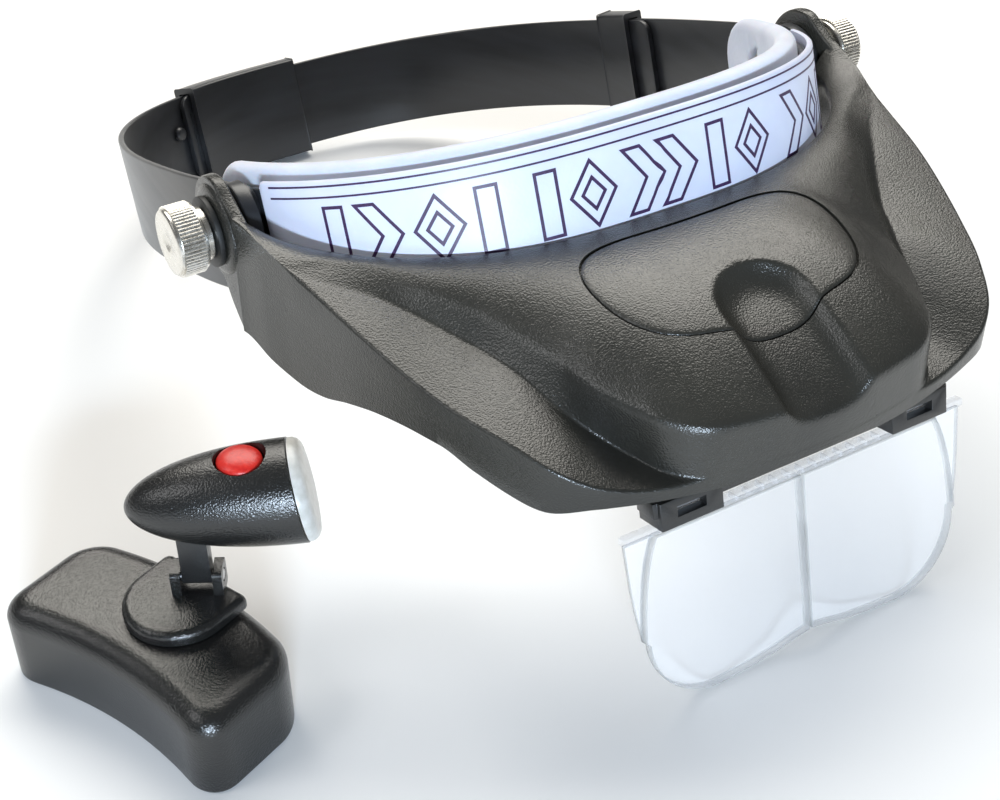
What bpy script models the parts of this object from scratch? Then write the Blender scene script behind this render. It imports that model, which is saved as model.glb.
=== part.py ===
"""Head visor magnifier with its clip-on lamp unit standing beside it.

The headband, the pivoting visor, the lens plate and the lamp unit are separate groups
of parts, each under an empty that sits on the group's joint axis. Sizes below are in
millimetres and degrees; meshes are written in metres, +Z up. The front faces -Y.
"""

import math

import bmesh
import bpy
import numpy as np
from mathutils import Vector

MM = 0.001
GAP = 0.3  # air between pieces that touch

# Headband ring: half a superellipse behind its widest station and half in front of it
HEAD_HALF_WIDTH = 77.5
HEAD_REAR = 119.8
HEAD_FRONT = 88.6
REAR_ROUNDNESS = 2.48
FRONT_ROUNDNESS = 2.6
BAND_HEIGHT = 26.0
BAND_THICKNESS = 1.6
BAND_PITCH = 20.5  # the band lies on its rear edge with its front raised

# Angles round the ring: 0 is the right temple, 90 the nape, 180 the left temple, 270 the brow
FRONT_BAND_SPAN = (192.0, 348.0)
LEFT_ARM_SPAN = (92.0, 203.0)
RIGHT_ARM_SPAN = (337.0, 377.0)
REAR_STRAP_SPAN = (8.0, 116.0)
SLEEVE_SPAN = (89.5, 113.5)
KEEPER_SPAN = (11.5, 17.5)
PEG_ANGLE = 118.5
FOAM_SPAN = (190.0, 350.0)
PAD_COVER_SPAN = (205.0, 335.0)
SLEEVE_WALL = 1.5
FOAM_THICKNESS = 5.0
FOAM_HEIGHT = (-3.0, 29.0)
PAD_COVER_THICKNESS = 1.2
PAD_COVER_HEIGHT = (-1.0, 26.5)

# Visor pivot, in the band's own frame: in front of the widest station and above the lower edge
PIVOT_FORWARD = 39.1
PIVOT_HEIGHT = 17.6
STUD_RADIUS = 2.4
STUD_CLEARANCE = 0.3
ARM_BOSS_RADIUS = 9.0
ARM_BOSS_RISE = 2.2
WASHER_RADIUS = 8.0
FRICTION_WASHER_THICKNESS = 0.8
CLAMP_WASHER_THICKNESS = 1.2
EAR_RADIUS = 12.0
EAR_THICKNESS = 3.0
EAR_RUN = ((5.0, 9.8, -17.2), (9.5, 7.8, -21.4), (16.0, 5.0, -23.0), (22.0, 3.2, -24.2), (28.0, 1.4, -24.6))
EAR_BOSS_RADIUS = 9.5
EAR_BOSS_RISE = 1.0
EAR_SINK = 0.8  # the ear's front end lies this far under the skirt's face
KNOB_RADIUS = 7.6
KNOB_THICKNESS = 7.0
KNOB_SHOULDER_RADIUS = 6.0
KNOB_SHOULDER_THICKNESS = 1.6
KNOB_DIMPLE_RADIUS = 2.6
NUT_RADIUS = 4.6
NUT_THICKNESS = 2.4

# Visor shell. Stations run round the face from the ear (0) to the middle of the front (90),
# about a centre in front of the pivot. Reach is outwards from the pad, height is from the pivot.
SHELL_WALL = 2.5
PLAN_CENTRE_FORWARD = 9.5
BROW_GAP = ((0, 3.4), (18, 3.0), (40, 1.7), (90, 1.3))
BROW_HEIGHT = ((0, 1.5), (8, 3.0), (19, 4.3), (35, 5.6), (90, 7.0))
WALL_REACH = ((0, 9.9), (7, 11.7), (13, 13.9), (21, 18.6), (30, 25.9), (37, 32.6), (44, 40.1), (52, 49.2), (58, 55.8),
              (63, 57.8), (75, 57.8), (90, 58.7))
EDGE_HEIGHT = ((0, 7.6), (7, 6.2), (13, 4.2), (21, 2.3), (30, 0.0), (44, -5.1), (52, -7.5), (58, -11.0), (62, -13.8),
               (66, -16.0), (74, -17.0), (90, -16.6))
RIM_HEIGHT = ((0, -22.0), (8, -24.7), (14, -25.6), (20, -24.3), (26, -20.8), (32, -18.0), (38, -16.5), (43, -16.3),
              (48, -18.7), (56, -21.8), (62, -19.7), (68, -20.2), (77, -20.6), (90, -18.6))
CREST_INSET = ((0, 1.2), (13, 1.3), (17, 6.0), (24, 11.9), (35, 17.7), (45, 22.6), (53, 24.2), (58, 22.8), (61, 18.6),
               (66, 10.8), (70, 4.6), (74, 0.9), (78, 0.2), (90, 0.2))
CREST_HEIGHT = ((0, 7.7), (13, 4.5), (20, 4.2), (36, 3.4), (50, 0.6), (60, -2.4), (70, -4.6), (90, -5.6))
FOOT_INSET = ((0, 0.6), (14, 0.65), (21, 5.2), (25, 8.4), (33, 13.2), (41, 17.2), (48, 19.4), (54, 19.2), (59, 17.4),
              (63, 14.2), (67, 9.2), (70, 4.2), (73.5, 0.6), (78, 0.1), (90, 0.1))
FOOT_RISE = ((0, 0.05), (14, 0.1), (30, 1.2), (48, 2.0), (60, 1.5), (72, 0.5), (90, 0.5))
CREST_ROUND = 3.2
FOOT_ROUND = 1.2
EDGE_ROUND = 1.2
NARROW_ROOM = 4.5  # under this width inside, the shell's section closes to a plain wall
HUMP_DOME = 0.10  # rise of the hump's middle, per millimetre of its width
CHANNEL_HALF_WIDTH = 11.0
CHANNEL_START = 88.0  # in front of the pivot: behind it the channel ends in a thumb scoop
CHANNEL_DEPTH = 4.0
SCOOP_LENGTH = 10.5

# Front cover and its thumb scoop; distances in front of the pivot
COVER_OUTLINE = ((0, 59.5), (12, 59), (23.5, 58), (29.8, 62), (31, 71), (28.6, 83), (22, 89.5), (14, 90), (8.5, 92.5),
                 (0, 93.5))
COVER_MIDDLE = 78.0
COVER_THICKNESS = 1.0
COVER_CLEARANCE = 0.5
COVER_LEDGE = 2.4

# Lens plate: hangs in its clips, leaning forward at the bottom
LENS_LEAN = 14.75
LENS_FORWARD = 103.2
LENS_DROP = 27.6
LENS_HALF_WIDTH = 44.3
LENS_HEIGHT = 43.2
LENS_THICKNESS = 2.2
LENS_SEAM_GAP = 0.3
RAIL_HEIGHT = 2.0
CLIP_SPAN = (22.0, 37.0)
CLIP_DEPTH = 8.0
CLIP_HEIGHT = 6.2
CLIP_FIT = 0.3
TAB_SPAN = (25.0, 34.0)
TAB_HEIGHT = 4.8
CARRIER_BAR_HEIGHT = 3.5
CARRIER_SCREW_X = 12.0
CARRIER_SCREW_RADIUS = 1.1

# Lamp unit: a battery base with a curved plan, a stem and a bullet-shaped head
LAMP_PLACE = (-124.2, -83.5)
LAMP_TURN = -67.0
BASE_LENGTH = 62.0
BASE_WIDTH = 28.5
BASE_HEIGHT = 20.5
BASE_BEND_RADIUS = 95.0
BASE_CORNER = 8.0
BASE_TOP_ROUND = 5.0
BASE_WALL = 2.0
BASE_PLATE_THICKNESS = 1.5
BASE_FOOT = 0.5  # the battery plate sits this far above the rim that stands on the table
CELL_RADIUS = 5.1
CELL_LENGTH = 43.5
CELL_SPACING = 10.9
SPRING_ROOM = 5.2
CONTACT_THICKNESS = 0.5
CONTACT_MARGIN = 1.2
PEDESTAL_RADIUS = 11.5
PEDESTAL_HEIGHT = 3.0
PEDESTAL_ALONG = 2.5
PEDESTAL_OFFSET = 4.0
CLEVIS_AXIS_TURN = -30.0
CLEVIS_PLACE = (4.0, 9.0)
CLEVIS_CHEEK = 2.0
CLEVIS_HEIGHT = 5.0
PIN_RADIUS = 1.2
STEM_WIDTH = 6.0
STEM_THICKNESS = 3.6
STEM_HEIGHT = 12.5
HEAD_TURN = -22.0
LAMP_LENGTH = 36.0
LAMP_RADIUS = 10.8
LAMP_WALL = 1.6
LAMP_STEM_STATION = 12.2  # from the tail to the stem
LAMP_FACE_LEAN = 9.0
REFLECTOR_DEPTH = 7.5
BUTTON_STATION = 23.6
BUTTON_RADIUS = 4.6
BUTTON_TRAVEL = 1.0
BUTTON_DEPTH = 3.4


def smooth_value(table, at):
    """A smooth curve through a short table of (station, value), read at one station or many."""
    stations, values = (np.array(column, float) for column in zip(*table))
    steps = np.diff(values) / np.diff(stations)
    slopes = np.concatenate([[0.0], np.where(steps[1:] * steps[:-1] > 0, (steps[1:] + steps[:-1]) / 2, 0.0), [0.0]])
    at = np.clip(np.asarray(at, float), stations[0], stations[-1])
    left = np.clip(np.searchsorted(stations, at, side="right") - 1, 0, len(stations) - 2)
    width = stations[left + 1] - stations[left]
    t = (at - stations[left]) / width
    return (
        values[left] * (1 + 2 * t) * (1 - t) ** 2
        + values[left + 1] * t * t * (3 - 2 * t)
        + width * (slopes[left] * t * (1 - t) ** 2 + slopes[left + 1] * t * t * (t - 1))
    )


def clear_scene():
    for obj in list(bpy.data.objects):
        bpy.data.objects.remove(obj)


def material(name, color, roughness, metallic=0.0, alpha=1.0):
    made = bpy.data.materials.new(name)
    made.use_nodes = True
    shader = made.node_tree.nodes["Principled BSDF"]
    shader.inputs["Base Color"].default_value = (*color, 1.0)
    shader.inputs["Roughness"].default_value = roughness
    shader.inputs["Metallic"].default_value = metallic
    shader.inputs["Alpha"].default_value = alpha
    return made


def empty(name, place, turn=(0.0, 0.0, 0.0), parent=None):
    made = bpy.data.objects.new(name, None)
    bpy.context.collection.objects.link(made)
    made.location = Vector(place) * MM
    made.rotation_euler = [math.radians(angle) for angle in turn]
    made.parent = parent
    return made


def solid(name, points, faces, parent, finish=None, sharp=35.0):
    """A mesh object from points in millimetres; without a finish it is a hidden cutter."""
    mesh = bpy.data.meshes.new(name)
    mesh.from_pydata([Vector(p) * MM for p in points], [], faces)
    shell = bmesh.new()
    shell.from_mesh(mesh)
    bmesh.ops.recalc_face_normals(shell, faces=shell.faces)
    shell.to_mesh(mesh)
    shell.free()
    mesh.shade_smooth()
    mesh.set_sharp_from_angle(angle=math.radians(sharp))
    made = bpy.data.objects.new(name, mesh)
    bpy.context.collection.objects.link(made)
    made.parent = parent
    if finish:
        mesh.materials.append(finish)
    else:
        made.hide_render = True
        made.display_type = "WIRE"
    return made


def combine(target, other, operation):
    """Cuts a hidden solid from the target, or joins it on."""
    change = target.modifiers.new(other.name, "BOOLEAN")
    change.operation = operation
    change.solver = "EXACT"
    change.object = other


def loft(name, loops, parent, finish=None, sharp=35.0):
    """A closed solid through loops that all have the same number of points."""
    count = len(loops[0])
    points = [tuple(p) for loop in loops for p in loop]
    faces = [
        (k * count + i, k * count + (i + 1) % count, (k + 1) * count + (i + 1) % count, (k + 1) * count + i)
        for k in range(len(loops) - 1)
        for i in range(count)
    ]
    faces.append(tuple(range(count)))
    faces.append(tuple(range(len(points) - count, len(points))))
    return solid(name, points, faces, parent, finish, sharp)


def lathe(name, profile, parent, finish=None, axis="X", segments=32, place=(0, 0, 0), closed=False):
    """Turns (along, radius) points about an axis. An open profile starts and ends on the axis."""
    frame = {"X": (0, 1, 2), "Y": (1, 2, 0), "Z": (2, 0, 1)}[axis]
    points, rings = [], []
    for along, radius in profile:
        ring = []
        for k in range(segments if radius > 0 else 1):
            angle = math.tau * k / segments
            point = [0.0, 0.0, 0.0]
            point[frame[0]] = along
            point[frame[1]] = radius * math.cos(angle)
            point[frame[2]] = radius * math.sin(angle)
            ring.append(len(points))
            points.append(tuple(a + b for a, b in zip(point, place)))
        rings.append(ring)
    faces = []
    pairs = list(zip(rings, rings[1:])) + ([(rings[-1], rings[0])] if closed else [])
    for a, b in pairs:
        for k in range(segments):
            face = [a[k % len(a)], a[(k + 1) % len(a)], b[(k + 1) % len(b)], b[k % len(b)]]
            faces.append(tuple(dict.fromkeys(face)))
    return solid(name, points, faces, parent, finish)


def block(name, low, high, parent, finish=None):
    corners = [[(x, y, z) for x, y in ((low[0], low[1]), (high[0], low[1]), (high[0], high[1]), (low[0], high[1]))]
               for z in (low[2], high[2])]
    return loft(name, corners, parent, finish)


# ---------------------------------------------------------------- headband


def ring_point(angle, offset):
    """A point of the headband ring, moved outwards by offset, in the band's own frame."""
    c, s = math.cos(math.radians(angle)), math.sin(math.radians(angle))
    depth, roundness = (HEAD_REAR, REAR_ROUNDNESS) if s > 0 else (HEAD_FRONT, FRONT_ROUNDNESS)
    x = (HEAD_HALF_WIDTH + offset) * math.copysign(abs(c) ** (2 / roundness), c)
    y = (depth + offset) * math.copysign(abs(s) ** (2 / roundness), s)
    return x, y


def ring_angles(span, step=5.0):
    """Stations along a span, closer where the ring turns sharply by the temples."""
    count = max(2, round((span[1] - span[0]) / step))
    return np.linspace(span[0], span[1], count + 1)


def strip(name, span, offsets, heights, parent, finish, corner=0.0):
    """A band that follows the ring, with its end corners cut back by corner."""
    loops = []
    angles = ring_angles(span)
    for k, angle in enumerate(angles):
        cut = corner if k in (0, len(angles) - 1) else 0.0
        section = ((offsets[0], heights[0] + cut), (offsets[1], heights[0] + cut),
                   (offsets[1], heights[1] - cut), (offsets[0], heights[1] - cut))
        loops.append([(*ring_point(angle, offset), height) for offset, height in section])
    return loft(name, loops, parent, finish)


def loop_sleeve(name, span, parent, finish):
    """A rectangular sleeve round both layers of strap."""
    inner_side = -BAND_THICKNESS - GAP
    outer_side = BAND_THICKNESS + 2 * GAP
    outside = ((inner_side - SLEEVE_WALL, -SLEEVE_WALL - GAP), (outer_side + SLEEVE_WALL, -SLEEVE_WALL - GAP),
               (outer_side + SLEEVE_WALL, BAND_HEIGHT + SLEEVE_WALL + GAP),
               (inner_side - SLEEVE_WALL, BAND_HEIGHT + SLEEVE_WALL + GAP))
    inside = ((inner_side, -GAP), (outer_side, -GAP), (outer_side, BAND_HEIGHT + GAP), (inner_side, BAND_HEIGHT + GAP))
    angles = ring_angles(span, 3.0)
    points = [(*ring_point(a, offset), height) for a in angles for section in (outside, inside)
              for offset, height in section]
    faces = []
    for k in range(len(angles) - 1):
        for i in range(4):
            for first in (0, 4):
                a, b = k * 8 + first, (k + 1) * 8 + first
                faces.append((a + i, a + (i + 1) % 4, b + (i + 1) % 4, b + i))
    for k in (0, len(angles) - 1):
        faces += [(k * 8 + i, k * 8 + (i + 1) % 4, k * 8 + 4 + (i + 1) % 4, k * 8 + 4 + i) for i in range(4)]
    return solid(name, points, faces, parent, finish)


def foam_section(squeeze):
    """Rounded cross-section of the foam; squeeze shortens it towards the rounded ends."""
    low, high = FOAM_HEIGHT
    middle, half = (low + high) / 2, (high - low) / 2 * squeeze
    back = -BAND_THICKNESS - GAP
    round_size = FOAM_THICKNESS / 2
    section = []
    for side, turn in ((1, 0.0), (-1, 180.0)):
        for angle in range(0, 181, 36):
            direction = math.radians(turn + angle)
            section.append((back - round_size + round_size * math.cos(direction),
                            middle + side * (half - round_size) + round_size * math.sin(direction)))
    return section


def foam_pad(parent, finish):
    loops = []
    start, end = FOAM_SPAN
    end_round = 7.0
    for angle in ring_angles(FOAM_SPAN, 4.0):
        inside = min(angle - start, end - angle) / end_round
        squeeze = 0.55 + 0.45 * math.sqrt(max(0.0, 1 - (1 - min(inside, 1.0)) ** 2))
        loops.append([(*ring_point(angle, offset), height) for offset, height in foam_section(squeeze)])
    return loft("forehead_foam", loops, parent, finish)


def ring_half_width(forward, offset):
    """Half the ring's width at a distance in front of its widest station."""
    share = (abs(forward) / (HEAD_FRONT + offset)) ** FRONT_ROUNDNESS
    return (HEAD_HALF_WIDTH + offset) * (1 - share) ** (1 / FRONT_ROUNDNESS)


ARM_FACE = ring_half_width(PIVOT_FORWARD, BAND_THICKNESS + GAP) + ARM_BOSS_RISE
EAR_INSIDE = ARM_FACE + FRICTION_WASHER_THICKNESS + 2 * GAP
EAR_OUTSIDE = EAR_INSIDE + EAR_THICKNESS
EAR_BOSS_FACE = EAR_OUTSIDE + EAR_BOSS_RISE
CLAMP_WASHER_FACE = EAR_BOSS_FACE + GAP + CLAMP_WASHER_THICKNESS
KNOB_BASE = CLAMP_WASHER_FACE + GAP
NUT_OUTSIDE = ring_half_width(PIVOT_FORWARD + NUT_RADIUS, -BAND_THICKNESS) - 2 * GAP


def disc_ring(name, inner, outer, near, far, side, parent, finish=None, segments=32):
    """A washer square to the pivot axis, between two distances from the middle plane."""
    profile = ((side * near, inner), (side * near, outer), (side * far, outer), (side * far, inner))
    return lathe(name, profile, parent, finish, segments=segments, closed=True)


def plug(name, radius, near, far, side, parent, finish=None, segments=32):
    """A plain cylinder on the pivot axis."""
    profile = ((side * near, 0.0), (side * near, radius), (side * far, radius), (side * far, 0.0))
    return lathe(name, profile, parent, finish, segments=segments)


def make_headband(band, pivot, finishes):
    black, white, grey, steel = (finishes[key] for key in ("strap", "pad", "foam", "steel"))
    arm_layer = (GAP, GAP + BAND_THICKNESS)
    inner_layer = (-BAND_THICKNESS, 0.0)
    edge = (0.0, BAND_HEIGHT)
    front = strip("front_band", FRONT_BAND_SPAN, inner_layer, (1.0, BAND_HEIGHT - 1.5), band, black, 3.0)
    left = strip("left_arm", LEFT_ARM_SPAN, arm_layer, edge, band, black, 3.0)
    right = strip("right_arm", RIGHT_ARM_SPAN, arm_layer, edge, band, black, 3.0)
    strip("rear_strap", REAR_STRAP_SPAN, inner_layer, edge, band, black, 3.0)
    loop_sleeve("strap_sleeve", SLEEVE_SPAN, band, black)
    loop_sleeve("keeper_loop", KEEPER_SPAN, band, black)
    foam = foam_pad(band, grey)
    strip("pad_cover", PAD_COVER_SPAN, (GAP, GAP + PAD_COVER_THICKNESS), PAD_COVER_HEIGHT, band, white, 0.6)
    bore = STUD_RADIUS + STUD_CLEARANCE
    for side, label, arm in ((-1, "left", left), (1, "right", right)):
        inside = ring_half_width(PIVOT_FORWARD, 0.0) + 2.0
        boss = plug(f"{label}_arm_boss", ARM_BOSS_RADIUS, inside, ARM_FACE, side, pivot)
        combine(arm, boss, "UNION")
        hole = plug(f"{label}_band_hole", bore, NUT_OUTSIDE - 20, ARM_FACE + 5, side, pivot, segments=24)
        combine(arm, hole, "DIFFERENCE")
        combine(front, hole, "DIFFERENCE")
        pocket = plug(f"{label}_nut_pocket", NUT_RADIUS + 1.0, NUT_OUTSIDE - NUT_THICKNESS - 1.5, ARM_FACE, side, pivot,
                      segments=24)
        combine(foam, pocket, "DIFFERENCE")
        disc_ring(f"{label}_friction_washer", bore, WASHER_RADIUS, ARM_FACE + GAP,
                  ARM_FACE + GAP + FRICTION_WASHER_THICKNESS, side, pivot, finishes["washer"])
        nut = plug(f"{label}_pivot_nut", NUT_RADIUS, NUT_OUTSIDE - NUT_THICKNESS, NUT_OUTSIDE, side, pivot, steel,
                   segments=6)
        combine(nut, hole, "DIFFERENCE")
    place = Vector((*ring_point(PEG_ANGLE, 0.0), BAND_HEIGHT * 0.6))
    along = Vector(ring_point(PEG_ANGLE + 1.0, 0.0)) - Vector(ring_point(PEG_ANGLE - 1.0, 0.0))
    outward = Vector((along.y, -along.x, 0.0))
    profile = ((-1.6, 0.0), (-1.6, 1.6), (-0.9, 2.2), (0.0, 2.2), (0.0, 0.0))
    peg = lathe("strap_peg", profile, band, black, segments=16)
    peg.location = place * MM
    peg.rotation_euler = outward.to_track_quat("X", "Z").to_euler()


# ---------------------------------------------------------------- visor


def pad_reach(station, height):
    """Distance from the plan centre out to the pad's face, at a height above the pivot."""
    c, s = math.cos(math.radians(station)), math.sin(math.radians(station))
    pitch = math.radians(BAND_PITCH)
    face = GAP + PAD_COVER_THICKNESS
    near, far = 0.0, 2 * HEAD_HALF_WIDTH
    for _ in range(40):
        reach = (near + far) / 2
        forward = PLAN_CENTRE_FORWARD + reach * s
        ring_forward = PIVOT_FORWARD + forward * math.cos(pitch) + height * math.sin(pitch)
        share = (reach * c / (HEAD_HALF_WIDTH + face)) ** FRONT_ROUNDNESS
        share += (max(ring_forward, 0.0) / (HEAD_FRONT + face)) ** FRONT_ROUNDNESS
        near, far = (reach, far) if share < 1 else (near, reach)
    return near


def channel(x, forward):
    """Depth of the thumb scoop in the cover and of the channel that runs on from it to the front edge."""
    across, behind = x / CHANNEL_HALF_WIDTH, max(CHANNEL_START - forward, 0.0) / SCOOP_LENGTH
    share = max(0.0, 1 - across * across - behind * behind)
    return CHANNEL_DEPTH * share * (2 - share)


def shell_rails(station):
    """(reach, height) of the brow, crest, foot, edge and rim lines at a station."""
    brow_height = float(smooth_value(BROW_HEIGHT, station))
    pad = pad_reach(station, brow_height)
    wall = pad + float(smooth_value(WALL_REACH, station))
    edge = float(smooth_value(EDGE_HEIGHT, station))
    foot = edge + float(smooth_value(FOOT_RISE, station))
    brow = pad + float(smooth_value(BROW_GAP, station))
    crest = wall - float(smooth_value(CREST_INSET, station))
    crest_height = float(smooth_value(CREST_HEIGHT, station))
    x, forward = crest * math.cos(math.radians(station)), PLAN_CENTRE_FORWARD + crest * math.sin(math.radians(station))
    return (
        (brow, brow_height),
        (crest, crest_height - channel(x, forward)),
        (wall - float(smooth_value(FOOT_INSET, station)), foot),
        (wall, edge),
        (wall, float(smooth_value(RIM_HEIGHT, station))),
    )


def hump_height(x, forward):
    """Height of the hump's top surface over a point of the plan."""
    reach = math.hypot(x, forward - PLAN_CENTRE_FORWARD)
    station = math.degrees(math.atan2(forward - PLAN_CENTRE_FORWARD, abs(x)))
    (brow, brow_height), _, _, (wall, _), _ = shell_rails(station)
    crest = wall - float(smooth_value(CREST_INSET, station))
    crest_height = float(smooth_value(CREST_HEIGHT, station))
    share = (reach - brow) / (crest - brow)
    dome = HUMP_DOME * (crest - brow) * 4 * share * (1 - share)
    return brow_height + (crest_height - brow_height) * share + dome - channel(x, forward)


def rounded(corner, before, after, size):
    """Three points that round a corner of a section."""
    to_before, to_after = Vector(before) - Vector(corner), Vector(after) - Vector(corner)
    first = Vector(corner) + to_before * min(size / to_before.length, 0.4)
    last = Vector(corner) + to_after * min(size / to_after.length, 0.4)
    return [tuple(first), tuple((first + last + 2 * Vector(corner)) / 4), tuple(last)]


def inset_line(points, distance):
    """The polyline moved to its right by distance, with mitred corners."""
    moved = []
    for k, point in enumerate(points):
        before = Vector(points[k]) - Vector(points[k - 1]) if k > 0 else None
        after = Vector(points[k + 1]) - Vector(points[k]) if k < len(points) - 1 else None
        normals = [Vector((d.y, -d.x)).normalized() for d in (before, after) if d is not None]
        middle = sum(normals, Vector((0.0, 0.0))).normalized()
        moved.append(Vector(point) + middle * distance / max(middle.dot(normals[0]), 0.5))
    return moved


def shell_section(station, dome_steps=7):
    """Closed section of the shell wall at a station, as (reach, height) points."""
    brow, crest, foot, edge, rim = shell_rails(station)
    turn = math.radians(station)
    top = []
    for k in range(1, dome_steps):
        reach = brow[0] + (crest[0] - brow[0]) * k / dome_steps
        top.append((reach, hump_height(reach * math.cos(turn), PLAN_CENTRE_FORWARD + reach * math.sin(turn))))
    outside = [brow, *top]
    outside += rounded(crest, top[-1], foot, CREST_ROUND)
    outside += rounded(foot, crest, edge, FOOT_ROUND)
    outside += rounded(edge, foot, rim, EDGE_ROUND)
    outside.append(rim)
    inside = inset_line([brow, *top[1::2], crest, foot, edge, rim], SHELL_WALL)
    first, last = Vector((brow[0], inside[0].y)), Vector((inside[-1].x, rim[1]))
    room = last.x - first.x
    spread = min(max((room - NARROW_ROOM) / NARROW_ROOM, 0.0), 1.0)
    steps = len(inside) - 1
    for k, point in enumerate(inside):
        limited = Vector((min(point.x, last.x - min(0.25, room / steps) * (steps - k)), point.y))
        inside[k] = first.lerp(last, k / steps).lerp(limited, spread)
    inside[0], inside[-1] = first, last
    return outside + [tuple(point) for point in reversed(inside)]


def shell_stations():
    half = np.concatenate([np.linspace(0.0, 66.0, 26), np.linspace(69.0, 90.0, 10)])
    return [(station, -1) for station in half] + [(station, 1) for station in half[-2::-1]]


def on_plan(station, side, reach):
    """(x, y) of a point at a station, from the pivot."""
    turn = math.radians(station)
    return side * reach * math.cos(turn), -(PLAN_CENTRE_FORWARD + reach * math.sin(turn))


def skirt_half_width(y):
    """Half the width of the skirt's outer face, beside the ear."""
    places = [on_plan(station, 1, shell_rails(station)[3][0]) for station in range(0, 31, 3)]
    return float(np.interp(-y, [-place[1] for place in places], [place[0] for place in places]))


def ear_loops(side):
    """Upright sections of the ear from the back of its lobe forward, where it sinks into the skirt."""
    rows = []
    for angle in range(12, 91, 13):
        turn = math.radians(angle)
        rows.append((EAR_RADIUS * math.cos(turn), EAR_RADIUS * math.sin(turn), -EAR_RADIUS * math.sin(turn)))
    rows += [(-forward, top, low) for forward, top, low in EAR_RUN]
    loops = []
    for y, top, low in rows:
        sunk = EAR_SINK * max(-y - EAR_RUN[0][0], 0.0) / EAR_RUN[-1][0]
        outside = min(EAR_OUTSIDE, skirt_half_width(y) - sunk)
        inside = min(EAR_INSIDE, outside - EAR_THICKNESS / 2)
        loops.append([(side * x, y, z) for x, z in ((inside, low), (outside, low), (outside, top), (inside, top))])
    return loops


def cover_outline(moved):
    """The cover's plan outline, moved outwards by an amount, as (x, forward)."""
    half = []
    for (x0, f0), (x1, f1) in zip(COVER_OUTLINE, COVER_OUTLINE[1:]):
        half += [(x0 + (x1 - x0) * t, f0 + (f1 - f0) * t) for t in (0.0, 0.5)]
    half.append(COVER_OUTLINE[-1])
    loop = half + [(-x, forward) for x, forward in half[-2:0:-1]]
    for _ in range(2):
        loop = [
            tuple((a + 2 * b + c) / 4 for a, b, c in zip(loop[k - 1], loop[k], loop[(k + 1) % len(loop)]))
            for k in range(len(loop))
        ]
    out = []
    for k, point in enumerate(loop):
        along = Vector(loop[(k + 1) % len(loop)]) - Vector(loop[k - 1])
        normal = Vector((along.y, -along.x)).normalized()
        if normal.dot(Vector(point) - Vector((0.0, COVER_MIDDLE))) < 0:
            normal = -normal
        out.append(tuple(Vector(point) + normal * moved))
    return out


def plate_over_hump(name, moved, top, bottom, parent, finish=None, rings=8):
    """A plate with the cover's outline whose faces follow the hump at heights top and bottom."""
    outline = cover_outline(moved)
    count = len(outline)
    points, faces = [], []
    for level in (top, bottom):
        for ring in range(1, rings + 1):
            share = ring / rings
            for x, forward in outline:
                px, pf = x * share, COVER_MIDDLE + (forward - COVER_MIDDLE) * share
                points.append((px, -pf, hump_height(px, pf) + level))
        points.append((0.0, -COVER_MIDDLE, hump_height(0.0, COVER_MIDDLE) + level))
    side = rings * count + 1
    for first in (0, side):
        for ring in range(rings - 1):
            a, b = first + ring * count, first + (ring + 1) * count
            faces += [(a + k, a + (k + 1) % count, b + (k + 1) % count, b + k) for k in range(count)]
        faces += [(first + k, first + (k + 1) % count, first + side - 1) for k in range(count)]
    a, b = (rings - 1) * count, side + (rings - 1) * count
    faces += [(a + k, a + (k + 1) % count, b + (k + 1) % count, b + k) for k in range(count)]
    return solid(name, points, faces, parent, finish)


def make_visor(visor, cover, finishes):
    black = finishes["shell"]
    loops = [
        [(*on_plan(station, side, reach), height) for reach, height in shell_section(station)]
        for station, side in shell_stations()
    ]
    shell = loft("visor_shell", loops, visor, black, 40.0)
    for side, label in ((-1, "left"), (1, "right")):
        ear = loft(f"{label}_ear_plate", ear_loops(side), visor)
        combine(shell, ear, "UNION")
        boss = plug(f"{label}_ear_boss", EAR_BOSS_RADIUS, EAR_INSIDE + 1, EAR_BOSS_FACE, side, visor)
        combine(shell, boss, "UNION")
        bore = plug(f"{label}_ear_bore", STUD_RADIUS + STUD_CLEARANCE, EAR_INSIDE - 5, EAR_BOSS_FACE + 5, side, visor,
                    segments=24)
        combine(shell, bore, "DIFFERENCE")
    over, under = 6.0, 7.0  # both cutters reach well past the wall
    seat = plate_over_hump("cover_seat", COVER_CLEARANCE, over, -COVER_THICKNESS - 2 * GAP, visor)
    bay = plate_over_hump("cover_bay", -COVER_LEDGE, over, -under, visor)
    combine(shell, seat, "DIFFERENCE")
    combine(shell, bay, "DIFFERENCE")
    lid = plate_over_hump("front_cover", 0.0, 0.0, -COVER_THICKNESS, cover, black)
    lid.location = -cover.location


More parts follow.
